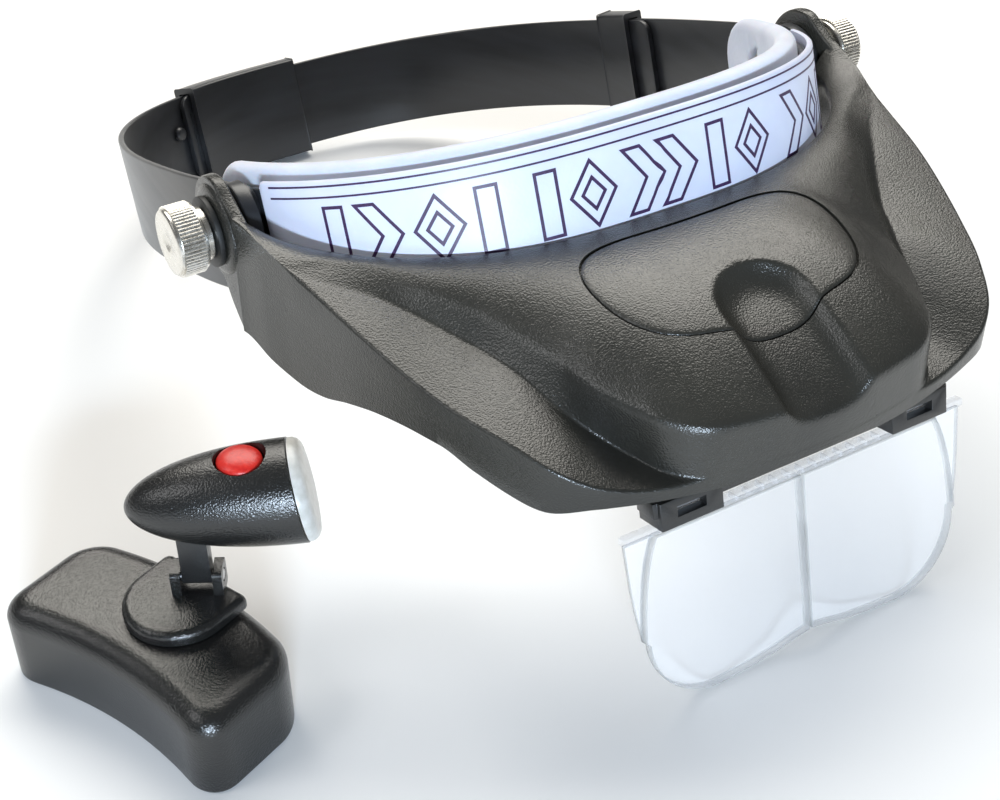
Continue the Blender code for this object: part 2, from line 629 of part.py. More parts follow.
def make_clamp(side, label, clamp, finishes):
    """The washer that travels with the clamp screw, and the screw itself."""
    bore = STUD_RADIUS + STUD_CLEARANCE
    disc_ring(f"{label}_clamp_washer", bore, WASHER_RADIUS, EAR_BOSS_FACE + GAP, CLAMP_WASHER_FACE, side, clamp,
              finishes["washer"])
    shoulder_end = KNOB_BASE + KNOB_SHOULDER_THICKNESS
    face = shoulder_end + KNOB_THICKNESS
    profile = ((KNOB_BASE, 0.0), (KNOB_BASE, KNOB_SHOULDER_RADIUS), (shoulder_end, KNOB_SHOULDER_RADIUS),
               (shoulder_end, KNOB_RADIUS - 0.5), (shoulder_end + 0.5, KNOB_RADIUS), (face - 0.6, KNOB_RADIUS),
               (face, KNOB_RADIUS - 0.6), (face, KNOB_DIMPLE_RADIUS), (face - 0.8, 0.0))
    head = lathe(f"{label}_thumb_knob", [(side * x, radius) for x, radius in profile], clamp, finishes["nickel"],
                 segments=48)
    socket = plug(f"{label}_knob_socket", STUD_RADIUS + GAP, KNOB_BASE - 2, KNOB_BASE + 4.0, side, clamp, segments=24)
    combine(head, socket, "DIFFERENCE")
    plug(f"{label}_clamp_stud", STUD_RADIUS, NUT_OUTSIDE - NUT_THICKNESS - 1.0, KNOB_BASE + 4.0 - GAP, side, clamp,
         finishes["steel"], segments=24)


# ---------------------------------------------------------------- lens plate


def lens_outline(side):
    """One lens in the plate's frame, as (x, z), from the seam's top round its outer edge."""
    w, h = LENS_HALF_WIDTH, LENS_HEIGHT
    seam = LENS_SEAM_GAP / 2
    top = -RAIL_HEIGHT - GAP
    points = [(seam, top), (w - 0.4, top), (w - 0.9, -h * 0.30), (w - 2.2, -h * 0.55)]
    for angle in range(0, 91, 15):
        turn = math.radians(angle)
        points.append((w - 20.0 + 16.6 * math.cos(turn), -h * 0.62 - h * 0.38 * math.sin(turn)))
    points += [(w * 0.38, -h * 0.99), (w * 0.22, -h * 0.975), (w * 0.10, -h * 0.95), (seam, -h * 0.935)]
    return [(side * x, z) for x, z in points]


def make_lens_plate(plate, finishes):
    clear = finishes["clear"]
    half = LENS_THICKNESS / 2
    for side, label in ((-1, "left"), (1, "right")):
        loft(f"{label}_lens", [[(x, y, z) for x, z in lens_outline(side)] for y in (-half, half)], plate, clear)
    rail = block("lens_rail", (-LENS_HALF_WIDTH, -half, -RAIL_HEIGHT), (LENS_HALF_WIDTH, half, -GAP), plate, clear)
    for side in (-1, 1):
        low, high = sorted((side * TAB_SPAN[0], side * TAB_SPAN[1]))
        tab = block(f"rail_tab_{low:.0f}", (low, -half + GAP, -RAIL_HEIGHT / 2), (high, half - GAP, TAB_HEIGHT), plate)
        combine(rail, tab, "UNION")


def make_carrier(frame, finishes):
    """The bar inside the visor's front wall, with the two clip blocks that take the lens tabs."""
    half = CLIP_DEPTH / 2
    bar = block("lens_carrier", (-CLIP_SPAN[1] - 1, -half + 1.0, CLIP_HEIGHT - CARRIER_BAR_HEIGHT),
                (CLIP_SPAN[1] + 1, half - 1.0, CLIP_HEIGHT), frame, finishes["shell"])
    for side in (-1, 1):
        low, high = sorted((side * CLIP_SPAN[0], side * CLIP_SPAN[1]))
        clip = block(f"clip_block_{low:.0f}", (low, -half, 0.0), (high, half, CLIP_HEIGHT), frame)
        combine(bar, clip, "UNION")
        low, high = sorted((side * TAB_SPAN[0], side * TAB_SPAN[1]))
        slot = LENS_THICKNESS / 2 + CLIP_FIT
        cut = block(f"clip_slot_{low:.0f}", (low - CLIP_FIT, -slot, -2.0), (high + CLIP_FIT, slot, TAB_HEIGHT + GAP),
                    frame)
        combine(bar, cut, "DIFFERENCE")
        window = block(f"clip_window_{low:.0f}", (low + 1.0, -half - 2.0, 2.0), (high - 1.0, 0.0, TAB_HEIGHT - 0.5),
                       frame)
        combine(bar, window, "DIFFERENCE")
        middle = (side * CARRIER_SCREW_X, 0.0, CLIP_HEIGHT - CARRIER_BAR_HEIGHT / 2)
        hole = lathe(f"carrier_hole_{side}", ((-half - 2, 0.0), (-half - 2, CARRIER_SCREW_RADIUS + GAP),
                                              (half + 2, CARRIER_SCREW_RADIUS + GAP), (half + 2, 0.0)),
                     frame, axis="Y", segments=16, place=middle)
        combine(bar, hole, "DIFFERENCE")
        label = "left" if side < 0 else "right"
        head = half - 1.0 + GAP
        lathe(f"{label}_carrier_screw", ((-half + 0.6, 0.0), (-half + 0.6, CARRIER_SCREW_RADIUS),
                                         (head, CARRIER_SCREW_RADIUS), (head, 1.9), (head + 1.2, 1.6), (head + 1.2, 0.0)),
              frame, finishes["steel"], axis="Y", segments=16, place=middle)


# ---------------------------------------------------------------- lamp unit


def base_outline(inset, steps=5):
    """Plan of the battery base moved inwards by inset, as (x, y), bent about the forehead's curve."""
    half_length, half_width = BASE_LENGTH / 2 - inset, BASE_WIDTH / 2 - inset
    corner = max(BASE_CORNER - inset, 0.8)
    straight = []
    for sx, sy, start in ((1, 1, 0), (-1, 1, 90), (-1, -1, 180), (1, -1, 270)):
        for k in range(steps + 1):
            turn = math.radians(start + 90 * k / steps)
            straight.append((sx * (half_length - corner) + corner * math.cos(turn),
                             sy * (half_width - corner) + corner * math.sin(turn)))
        if sy == 1 and sx == 1 or sy == -1 and sx == -1:
            run = half_length - corner
            straight += [(sx * run * share, sy * half_width) for share in (0.6, 0.2, -0.2, -0.6)]
    return [(x, y - x * x / (2 * BASE_BEND_RADIUS)) for x, y in straight]


def make_lamp_base(base, door, finishes):
    black, steel = finishes["shell"], finishes["steel"]
    levels = [(0.6, 0.0), (0.0, 0.8)]
    for k in range(5):
        turn = math.radians(22.5 * k)
        levels.append((BASE_TOP_ROUND * (1 - math.cos(turn)), BASE_HEIGHT - BASE_TOP_ROUND * (1 - math.sin(turn))))
    housing = loft("lamp_base", [[(x, y, z) for x, y in base_outline(inset)] for inset, z in levels], base, black)
    cavity = loft("base_cavity", [[(x, y, z) for x, y in base_outline(BASE_WALL)]
                                  for z in (-2.0, BASE_HEIGHT - BASE_TOP_ROUND)], base)
    combine(housing, cavity, "DIFFERENCE")
    plate_top = BASE_FOOT + BASE_PLATE_THICKNESS
    loft("battery_door", [[(x, y, z) for x, y in base_outline(BASE_WALL + GAP)] for z in (BASE_FOOT, plate_top)], door,
         black)
    cell_z = plate_top + GAP + CELL_RADIUS
    end = CELL_LENGTH / 2
    for number, side in ((1, -1), (2, 1)):
        place = (0.0, side * CELL_SPACING / 2 - 1.0, cell_z)
        lathe(f"battery_{number}", ((-end, 0.0), (-end, CELL_RADIUS), (end - 0.8, CELL_RADIUS), (end - 0.8, 1.9),
                                    (end, 1.9), (end, 0.0)), base, finishes["cell"], segments=24, place=place)
        spring_coil(f"contact_spring_{number}", (-end - GAP, place[1], cell_z), base, steel)
    for name, x in (("spring_contact", -end - SPRING_ROOM), ("cap_contact", end + GAP)):
        bend = x * x / (2 * BASE_BEND_RADIUS)
        block(name, (x, -CELL_SPACING / 2 - CELL_RADIUS, plate_top + GAP),
              (x + CONTACT_THICKNESS, CELL_SPACING - bend - CONTACT_MARGIN, cell_z + CELL_RADIUS), base, steel)


def spring_coil(name, place, parent, finish, turns=3, radius=3.0, wire=0.35):
    """A short compression spring along -X from place."""
    curve = bpy.data.curves.new(name, "CURVE")
    curve.dimensions = "3D"
    curve.bevel_depth = wire * MM
    curve.bevel_resolution = 1
    curve.use_fill_caps = True
    path = curve.splines.new("POLY")
    steps = turns * 12
    path.points.add(steps)
    length = SPRING_ROOM - CONTACT_THICKNESS - 3 * GAP - 2 * wire
    for k, point in enumerate(path.points):
        turn = math.tau * k / 12
        x = place[0] - wire - length * k / steps
        y, z = place[1] + radius * math.cos(turn), place[2] + radius * math.sin(turn)
        point.co = (x * MM, y * MM, z * MM, 1.0)
    made = bpy.data.objects.new(name, curve)
    bpy.context.collection.objects.link(made)
    made.parent = parent
    curve.materials.append(finish)


def pedestal_outline():
    """A D with its round side towards the base's concave edge, as (x, y)."""
    far = BASE_WIDTH / 2 - 1.5
    points = [(PEDESTAL_ALONG + PEDESTAL_RADIUS, far), (PEDESTAL_ALONG - PEDESTAL_RADIUS, far)]
    for angle in range(180, 361, 15):
        turn = math.radians(angle)
        points.append((PEDESTAL_ALONG + PEDESTAL_RADIUS * math.cos(turn),
                       PEDESTAL_OFFSET + PEDESTAL_RADIUS * math.sin(turn)))
    return points


def make_pedestal(base, clevis, finishes):
    floor = BASE_HEIGHT + GAP
    top = floor + PEDESTAL_HEIGHT
    middle = sum((Vector((*p, 0.0)) for p in pedestal_outline()), Vector()) / len(pedestal_outline())
    loops = []
    for shrink, z in ((1.0, floor), (1.0, top - 1.0), (0.96, top - 0.3), (0.90, top)):
        loops.append([(*(middle.xy + (Vector(p) - middle.xy) * shrink), z) for p in pedestal_outline()])
    pedestal = loft("lamp_pedestal", loops, base, finishes["shell"])
    cheek_near = STEM_WIDTH / 2 + GAP
    for number, side in ((1, -1), (2, 1)):
        low, high = sorted((side * cheek_near, side * (cheek_near + CLEVIS_CHEEK)))
        half = STEM_THICKNESS / 2 + 1.2
        cheek = block(f"clevis_cheek_{number}", (low, -half, -CLEVIS_HEIGHT / 2 - 1.5), (high, half, CLEVIS_HEIGHT / 2),
                      clevis)
        combine(pedestal, cheek, "UNION")
    reach = cheek_near + CLEVIS_CHEEK
    bore = lathe("clevis_bore", ((-reach - 2, 0.0), (-reach - 2, PIN_RADIUS + GAP), (reach + 2, PIN_RADIUS + GAP),
                                 (reach + 2, 0.0)), clevis, segments=16)
    combine(pedestal, bore, "DIFFERENCE")
    lathe("clevis_pin", ((-reach, 0.0), (-reach, PIN_RADIUS), (reach, PIN_RADIUS), (reach, 0.0)), clevis,
          finishes["steel"], segments=16)


def make_stem(clevis, finishes):
    half = STEM_THICKNESS / 2
    width = STEM_WIDTH / 2
    points = [(half * math.cos(math.radians(a)), half * math.sin(math.radians(a))) for a in range(180, 361, 30)]
    outline = points + [(half, STEM_HEIGHT), (-half, STEM_HEIGHT)]
    stem = loft("lamp_stem", [[(x, y, z) for y, z in outline] for x in (-width, width)], clevis, finishes["shell"])
    hole = lathe("stem_bore", ((-width - 2, 0.0), (-width - 2, PIN_RADIUS + GAP), (width + 2, PIN_RADIUS + GAP),
                               (width + 2, 0.0)), clevis, segments=16)
    combine(stem, hole, "DIFFERENCE")


def bullet_radius(station, wall=0.0):
    """Radius of the lamp head at a distance from its tail."""
    length, radius = LAMP_LENGTH - wall, LAMP_RADIUS - wall
    share = min(max((station - wall) / length, 0.0), 1.0)
    return radius * (1 - (1 - share) ** 2.3) ** 0.52


def make_lamp_head(head, button, finishes):
    black, clear, chrome = finishes["shell"], finishes["clear"], finishes["chrome"]
    start = -LAMP_STEM_STATION
    face = LAMP_LENGTH
    stations = [LAMP_LENGTH * share for share in (0.0, 0.02, 0.06, 0.13, 0.23, 0.36, 0.52, 0.72, 1.0)]
    outer = [(start + s, bullet_radius(s)) for s in stations]
    cavity_end = 5.0
    inner_stations = [cavity_end + (face - cavity_end) * share for share in (1.0, 0.6, 0.3, 0.1, 0.0)]
    inner = [(start + s, bullet_radius(s, LAMP_WALL)) for s in inner_stations]
    shell = lathe("lamp_head", [*outer, *inner, (start + cavity_end, 0.0)], head, black, segments=40)
    lean = math.radians(LAMP_FACE_LEAN)
    face_x = start + face - LAMP_RADIUS * math.tan(lean)
    trim = lean_block("head_trim", face_x, 20.0, head)
    combine(shell, trim, "DIFFERENCE")
    recess = lathe("button_recess", ((0.0, 0.0), (0.0, BUTTON_RADIUS + GAP), (30.0, BUTTON_RADIUS + GAP), (30.0, 0.0)),
                   head, axis="Z", segments=32, place=(start + BUTTON_STATION, 0.0, LAMP_RADIUS / 2))
    combine(shell, recess, "DIFFERENCE")
    socket = lathe("stem_socket", ((-30.0, 0.0), (-30.0, 3.9), (-LAMP_RADIUS + 4.4, 3.9), (-LAMP_RADIUS + 4.4, 0.0)),
                   head, axis="Z", segments=24)
    combine(shell, socket, "DIFFERENCE")
    lens_face(head, face_x, lean, clear)
    board_x = face_x - REFLECTOR_DEPTH
    lathe("lamp_reflector", ((face_x - 3.8, 8.0), (face_x - 3.0, 8.2), (board_x + 2.4, 3.6), (board_x + 1.6, 3.2)), head,
          chrome, segments=32, closed=True)
    lathe("led_board", ((board_x, 0.0), (board_x, 4.6), (board_x + 1.2, 4.6), (board_x + 1.2, 0.0)), head,
          finishes["board"], segments=24)
    led_foot = board_x + 1.2 + GAP
    lathe("led", ((led_foot, 0.0), (led_foot, 2.5), (led_foot + 3.0, 2.4), (led_foot + 4.4, 1.6), (led_foot + 5.0, 0.0)),
          head, clear, segments=16)
    switch_x = start + BUTTON_STATION
    top = bullet_radius(BUTTON_STATION)
    foot = top - BUTTON_DEPTH
    block("switch_body", (switch_x - 4.6, -2.6, foot - BUTTON_TRAVEL - GAP - 1.6),
          (switch_x - 0.6, 2.6, foot - BUTTON_TRAVEL - GAP), head, finishes["board"])
    lathe("lamp_button", ((foot, 0.0), (foot, BUTTON_RADIUS), (top - 1.8, BUTTON_RADIUS),
                          (top - 0.7, BUTTON_RADIUS * 0.8), (top + 0.1, BUTTON_RADIUS * 0.45), (top + 0.3, 0.0)),
          button, finishes["red"], axis="Z", segments=32)


def lean_block(name, face_x, depth, parent):
    """A cutter whose near face leans back at the top, for the slanted front of the head."""
    slope = math.tan(math.radians(LAMP_FACE_LEAN))
    reach = LAMP_RADIUS * 2
    corners = [[(face_x + slope * reach, y, -reach), (face_x + depth + 10, y, -reach),
                (face_x + depth + 10, y, reach), (face_x - slope * reach, y, reach)] for y in (-reach, reach)]
    return loft(name, corners, parent)


def lens_face(head, face_x, lean, finish):
    """The clear front: a rim outside and a shallow dome, on the slanted face."""
    radius = LAMP_RADIUS
    lens = lathe("lamp_lens", ((GAP, 0.0), (GAP, radius - 0.1), (1.6, radius - 0.3), (2.6, radius - 1.8),
                               (3.0, radius * 0.5), (3.1, 0.0)), head, finish, segments=40)
    lens.location = Vector((face_x, 0.0, 0.0)) * MM
    lens.rotation_euler = (0.0, -lean, 0.0)


# ---------------------------------------------------------------- assembly


def make_finishes():
    return {
        "shell": material("black_abs", (0.020, 0.020, 0.018), 0.45),
        "strap": material("black_strap", (0.012, 0.013, 0.016), 0.32),
        "washer": material("black_washer", (0.010, 0.010, 0.010), 0.5),
        "pad": material("white_vinyl", (0.80, 0.83, 0.92), 0.5),
        "foam": material("grey_foam", (0.62, 0.66, 0.76), 0.8),
        "nickel": material("nickel", (0.66, 0.64, 0.60), 0.3, 1.0),
        "steel": material("steel", (0.55, 0.55, 0.56), 0.35, 1.0),
        "chrome": material("reflector_chrome", (0.85, 0.85, 0.87), 0.1, 1.0),
        "clear": material("clear_acrylic", (0.92, 0.94, 0.96), 0.05, 0.0, 0.35),
        "cell": material("battery_wrap", (0.05, 0.16, 0.36), 0.35),
        "board": material("circuit_board", (0.02, 0.14, 0.06), 0.5),
        "red": material("red_button", (0.72, 0.03, 0.02), 0.4),
    }


def corners_of(obj):
    """Every corner of an object's finished mesh, in world units."""
    shape = obj.evaluated_get(bpy.context.evaluated_depsgraph_get())
    mesh = shape.to_mesh()
    corners = [shape.matrix_world @ vertex.co for vertex in mesh.vertices]
    shape.to_mesh_clear()
    return corners


def settle(rest):
    """Tips and lowers the headset until its rear sleeve and its lenses stand on the ground."""
    for _ in range(3):
        bpy.context.view_layer.update()
        rear, front = [min(corners_of(bpy.data.objects[name]), key=lambda corner: corner.z)
                       for name in ("strap_sleeve", "left_lens")]
        rest.rotation_euler.x += math.atan2(front.z - rear.z, rear.y - front.y)
        rest.location.z -= rear.z
    bpy.context.view_layer.update()
    rest.location.z -= min(corner.z for corner in corners_of(bpy.data.objects["strap_sleeve"]))


def centre_on_origin(root):
    """Moves the object so that the middle of its footprint is the origin."""
    bpy.context.view_layer.update()
    pieces = [obj for obj in bpy.data.objects if obj.type in ("MESH", "CURVE") and not obj.hide_render]
    corners = np.array([corner for piece in pieces for corner in corners_of(piece)])
    low, high = corners.min(axis=0), corners.max(axis=0)
    root.location = (-(low[0] + high[0]) / 2, -(low[1] + high[1]) / 2, -low[2])


def main():
    clear_scene()
    finishes = make_finishes()
    root = empty("assembly", (0, 0, 0))
    rest = empty("headset_rest", (0, 0, HEAD_REAR * math.sin(math.radians(BAND_PITCH))), parent=root)
    band = empty("band_frame", (0, 0, 0), (-BAND_PITCH, 0, 0), rest)
    pitch = math.radians(BAND_PITCH)
    pivot_place = (0, PIVOT_HEIGHT * math.sin(pitch) - PIVOT_FORWARD * math.cos(pitch),
                   PIVOT_HEIGHT * math.cos(pitch) + PIVOT_FORWARD * math.sin(pitch))
    pivot = empty("visor_pivot", pivot_place, parent=rest)
    make_headband(band, pivot, finishes)
    cover = empty("cover_frame", (0, -COVER_MIDDLE, 10), parent=pivot)
    make_visor(pivot, cover, finishes)
    for side, label in ((-1, "left"), (1, "right")):
        make_clamp(side, label, empty(f"{label}_clamp_axis", (0, 0, 0), parent=pivot), finishes)
    lens_frame = empty("lens_frame", (0, -LENS_FORWARD, -LENS_DROP), (-LENS_LEAN, 0, 0), pivot)
    make_carrier(lens_frame, finishes)
    make_lens_plate(lens_frame, finishes)
    base = empty("lamp_frame", (*LAMP_PLACE, 0), (0, 0, LAMP_TURN), root)
    make_lamp_base(base, base, finishes)
    hinge_height = BASE_HEIGHT + GAP + PEDESTAL_HEIGHT + CLEVIS_HEIGHT / 2 + 0.5
    clevis = empty("clevis_axis", (*CLEVIS_PLACE, hinge_height), (0, 0, CLEVIS_AXIS_TURN - LAMP_TURN), base)
    make_pedestal(base, clevis, finishes)
    make_stem(clevis, finishes)
    head_height = STEM_HEIGHT + LAMP_RADIUS - 3.5
    head = empty("head_axis", (0, 0, head_height), (0, 0, HEAD_TURN - CLEVIS_AXIS_TURN), clevis)
    button = empty("button_axis", (BUTTON_STATION - LAMP_STEM_STATION, 0, 0), parent=head)
    make_lamp_head(head, button, finishes)
    settle(rest)
    centre_on_origin(root)


main()
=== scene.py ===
# %% [markdown]
# # Head visor magnifier
# A headband carries a tilting black visor. Two clear lenses hang under the visor's front edge,
# and a small clip-on lamp stands beside the headset. The solid model is already packed, so this
# lesson loads it as a fixed frame and dresses it: finer surfaces, finishes, a camera and light.
# Every piece is drawn in millimetres in its own group's frame and then placed in metres.
# %% Load the frame
import math

import bmesh
import bpy
import numpy as np
from mathutils import Matrix, Vector


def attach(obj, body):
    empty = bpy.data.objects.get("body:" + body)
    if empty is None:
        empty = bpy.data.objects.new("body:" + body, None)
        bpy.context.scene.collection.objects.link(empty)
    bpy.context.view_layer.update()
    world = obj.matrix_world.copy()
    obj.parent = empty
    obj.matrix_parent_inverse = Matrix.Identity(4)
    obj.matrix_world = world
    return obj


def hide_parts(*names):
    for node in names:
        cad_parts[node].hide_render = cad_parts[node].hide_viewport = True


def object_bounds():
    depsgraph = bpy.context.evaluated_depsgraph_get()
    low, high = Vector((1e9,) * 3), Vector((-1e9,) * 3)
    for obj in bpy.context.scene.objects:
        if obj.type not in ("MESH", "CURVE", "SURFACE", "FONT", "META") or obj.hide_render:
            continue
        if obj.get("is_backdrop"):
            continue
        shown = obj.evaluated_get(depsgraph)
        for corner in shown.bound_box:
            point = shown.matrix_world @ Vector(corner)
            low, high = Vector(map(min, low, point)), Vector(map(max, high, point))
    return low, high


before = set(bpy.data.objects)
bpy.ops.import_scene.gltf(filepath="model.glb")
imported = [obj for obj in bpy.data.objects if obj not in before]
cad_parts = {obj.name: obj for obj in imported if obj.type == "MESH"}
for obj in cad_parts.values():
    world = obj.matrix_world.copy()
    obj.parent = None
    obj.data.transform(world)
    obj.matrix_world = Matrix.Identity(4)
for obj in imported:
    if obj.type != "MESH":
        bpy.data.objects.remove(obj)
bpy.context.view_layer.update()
MM = 0.001
WELD = 1e-7  # vertices closer than this are one

# %% [markdown]
# ## Frames of the groups
# A tilted group is easiest to draw flat. Each group therefore gets a matrix that carries its
# own millimetres to the place where the solid model holds it.
# %% Group frames


def turned(axis, degrees):
    return Matrix.Rotation(math.radians(degrees), 4, axis)


def shifted(x, y, z):
    return Matrix.Translation((x * MM, y * MM, z * MM))


REST_TIP = 1.2088  # the headset stands on its rear sleeve and its lenses, tipped this much
BAND_PITCH = 20.5
HEADSET = shifted(28.313, 9.562, 42.498) @ turned("X", REST_TIP)
BAND = HEADSET @ turned("X", -BAND_PITCH)
PIVOT = shifted(28.313, -21.529, 72.028) @ turned("X", REST_TIP)
LENS = PIVOT @ shifted(0, -103.2, -27.6) @ turned("X", -14.75)
LAMP = shifted(-95.887, -73.939, 0.0) @ turned("Z", -67.0)
CLEVIS = LAMP @ shifted(4.0, 9.0, 26.8) @ turned("Z", 37.0)
HEAD = CLEVIS @ shifted(0, 0, 19.8) @ turned("Z", 8.0)
print("band origin", [round(v * 1000, 1) for v in BAND.translation], "mm")

# %% [markdown]
# ## Camera
# The picture looks down from the front left, with a long lens so that the far temple stays
# almost as large as the near one. Azimuth, elevation and a slight roll give its three axes.
# %% Camera
CAMERA_PLACE = (-0.157046, -0.320510, 0.259312)
CAMERA_AZIMUTH, CAMERA_ELEVATION, CAMERA_ROLL = -30.187, 37.187, -0.864
CAMERA_LENS = 59.33
azimuth, elevation = math.radians(CAMERA_AZIMUTH), math.radians(CAMERA_ELEVATION)
camera_back = Vector((math.sin(azimuth) * math.cos(elevation),
                      -math.cos(azimuth) * math.cos(elevation),
                      math.sin(elevation)))
camera_data = bpy.data.cameras.new("view")
camera_data.lens = CAMERA_LENS
camera = bpy.data.objects.new("view", camera_data)
bpy.context.scene.collection.objects.link(camera)
camera.rotation_mode = "QUATERNION"
camera.location = CAMERA_PLACE
camera.rotation_quaternion = ((-camera_back).to_track_quat("-Z", "Y")
                              @ Matrix.Rotation(math.radians(CAMERA_ROLL), 3, "Z").to_quaternion())
bpy.context.scene.camera = camera
print("camera stands", round(Vector(CAMERA_PLACE).length, 3), "m from the origin")

# %% [markdown]
# ## Node helpers
# A finish is a short chain of shader nodes. These helpers add a node, join two sockets and
# start a material, so that each finish below reads like a recipe.
# %% Node helpers


def add(tree, kind, **settings):
    node = tree.nodes.new(kind)
    for key, value in settings.items():
        setattr(node, key, value)
    return node


def noise(tree, vector, scale, detail=2.0, roughness=0.5):
    node = add(tree, "ShaderNodeTexNoise")
    node.inputs["Scale"].default_value = scale
    node.inputs["Detail"].default_value = detail
    node.inputs["Roughness"].default_value = roughness
    tree.links.new(vector, node.inputs["Vector"])
    return node.outputs["Fac"]


def tint(tree, shader, value, dark, light, stops=(0.3, 0.75)):
    """Runs the base colour from dark to light as a noise value climbs between two stops."""
    node = add(tree, "ShaderNodeValToRGB")
    for element, stop, color in zip(node.color_ramp.elements, stops, (dark, light)):
        element.position, element.color = stop, (*color, 1.0)
    tree.links.new(value, node.inputs["Fac"])
    tree.links.new(node.outputs["Color"], shader.inputs["Base Color"])


def roughen(tree, shader, value, low, high):
    """Runs the roughness from low to high with a noise value."""
    node = add(tree, "ShaderNodeMapRange")
    node.inputs["To Min"].default_value, node.inputs["To Max"].default_value = low, high
    tree.links.new(value, node.inputs["Value"])
    tree.links.new(node.outputs["Result"], shader.inputs["Roughness"])


def math_node(tree, operation, first, second):
    node = add(tree, "ShaderNodeMath", operation=operation)
    for socket, value in zip(node.inputs, (first, second)):
        if isinstance(value, (int, float)):
            socket.default_value = value
        else:
            tree.links.new(value, socket)
    return node.outputs["Value"]


def bump(tree, height, distance, strength=1.0, under=None):
    node = add(tree, "ShaderNodeBump")
    node.inputs["Distance"].default_value = distance
    node.inputs["Strength"].default_value = strength
    tree.links.new(height, node.inputs["Height"])
    if under is not None:
        tree.links.new(under, node.inputs["Normal"])
    return node.outputs["Normal"]


def start_finish(name, roughness, metallic=0.0, **constants):
    """A new material: its tree, its shader and its object coordinates."""
    finish = bpy.data.materials.new(name)
    finish.use_nodes = True
    tree = finish.node_tree
    shader = tree.nodes["Principled BSDF"]
    shader.inputs["Roughness"].default_value = roughness
    shader.inputs["Metallic"].default_value = metallic
    for key, value in constants.items():
        shader.inputs[key.replace("_", " ")].default_value = value
    place = add(tree, "ShaderNodeTexCoord").outputs["Object"]
    return finish, tree, shader, place


print("node helpers ready")

# %% [markdown]
# ## Moulded black plastic
# The visor, cover and lamp are moulded in black ABS from a spark-eroded tool. That leaves a
# skin of tiny pebbles, less than half a millimetre across, which breaks a highlight into
# sparks along every ridge. A cell pattern for the pebbles and a finer noise make the height.
# %% Grained black plastic


def grained_plastic(name, dark, light, grain, depth, roughness):
    finish, tree, shader, place = start_finish(name, roughness, Specular_IOR_Level=0.62)
    cloud = noise(tree, place, 45.0, 3.0)
    tint(tree, shader, cloud, dark, light)
    pebbles = add(tree, "ShaderNodeTexVoronoi", feature="SMOOTH_F1")
    pebbles.inputs["Scale"].default_value = grain
    pebbles.inputs["Smoothness"].default_value = 0.6
    tree.links.new(place, pebbles.inputs["Vector"])
    fine = noise(tree, place, grain * 1.7, 2.0)
    height = math_node(tree, "ADD", math_node(tree, "MULTIPLY", pebbles.outputs["Distance"], -0.8),
                       math_node(tree, "MULTIPLY", fine, 0.7))
    tree.links.new(bump(tree, height, depth), shader.inputs["Normal"])
    patch = noise(tree, place, 130.0, 2.0)
    roughen(tree, shader, patch, roughness - 0.05, roughness + 0.06)
    return finish


SHELL_GRAIN, LAMP_GRAIN, CLIP_GRAIN = 2300.0, 2400.0, 2200.0  # pebbles to the metre
shell_black = grained_plastic("grained_black", (0.016, 0.016, 0.014), (0.030, 0.029, 0.024),
                              SHELL_GRAIN, 0.00009, 0.25)
lamp_black = grained_plastic("lamp_grained_black", (0.008, 0.008, 0.008), (0.016, 0.016, 0.015),
                             LAMP_GRAIN, 0.00008, 0.23)
clip_black = grained_plastic("clip_black", (0.010, 0.010, 0.010), (0.018, 0.018, 0.018), CLIP_GRAIN,
                             0.00003, 0.34)
print("pebble size about", round(1000 / SHELL_GRAIN, 2), "mm")

# %% [markdown]
# ## Smooth black nylon
# The straps bend, so they are nylon with a smooth skin. It has long faint streaks from the
# flow of the moulding and a slightly cold sheen.
# %% Strap nylon
strap_black, tree, shader, place = start_finish(
    "strap_nylon", 0.34, Specular_IOR_Level=0.6, Sheen_Weight=0.08, Sheen_Roughness=0.4)
stretch = add(tree, "ShaderNodeMapping")
stretch.inputs["Scale"].default_value = (30.0, 30.0, 260.0)
tree.links.new(place, stretch.inputs["Vector"])
streaks = noise(tree, stretch.outputs["Vector"], 1.0, 3.0)
tint(tree, shader, streaks, (0.011, 0.012, 0.014), (0.020, 0.022, 0.027))
roughen(tree, shader, streaks, 0.27, 0.42)
satin = noise(tree, place, 2600.0, 1.0)
tree.links.new(bump(tree, satin, 0.000012, 1.0, bump(tree, streaks, 0.00006)),
               shader.inputs["Normal"])
print("strap finish has", len(tree.nodes), "nodes")

# %% [markdown]
# ## Vinyl, foam and print
# The brow pad is soft foam behind a white vinyl face. The vinyl is faintly blue, with a very
# fine leather emboss. The foam is a cooler blue grey with open pores. The print is one dark
# violet ink.
# %% Vinyl, foam and ink
vinyl_white, tree, shader, place = start_finish(
    "white_vinyl", 0.42, Specular_IOR_Level=0.45, Subsurface_Weight=0.06, Subsurface_Scale=0.002)
soft_cloud = noise(tree, place, 70.0, 3.0)
tint(tree, shader, soft_cloud, (0.66, 0.70, 0.86), (0.73, 0.77, 0.92))
emboss = add(tree, "ShaderNodeTexVoronoi", feature="F1")
emboss.inputs["Scale"].default_value = 1300.0
tree.links.new(place, emboss.inputs["Vector"])
ripple = noise(tree, place, 150.0, 2.0)
tree.links.new(bump(tree, emboss.outputs["Distance"], 0.00003, 0.6,
                    bump(tree, ripple, 0.00025, 0.5)),
               shader.inputs["Normal"])
roughen(tree, shader, soft_cloud, 0.36, 0.5)

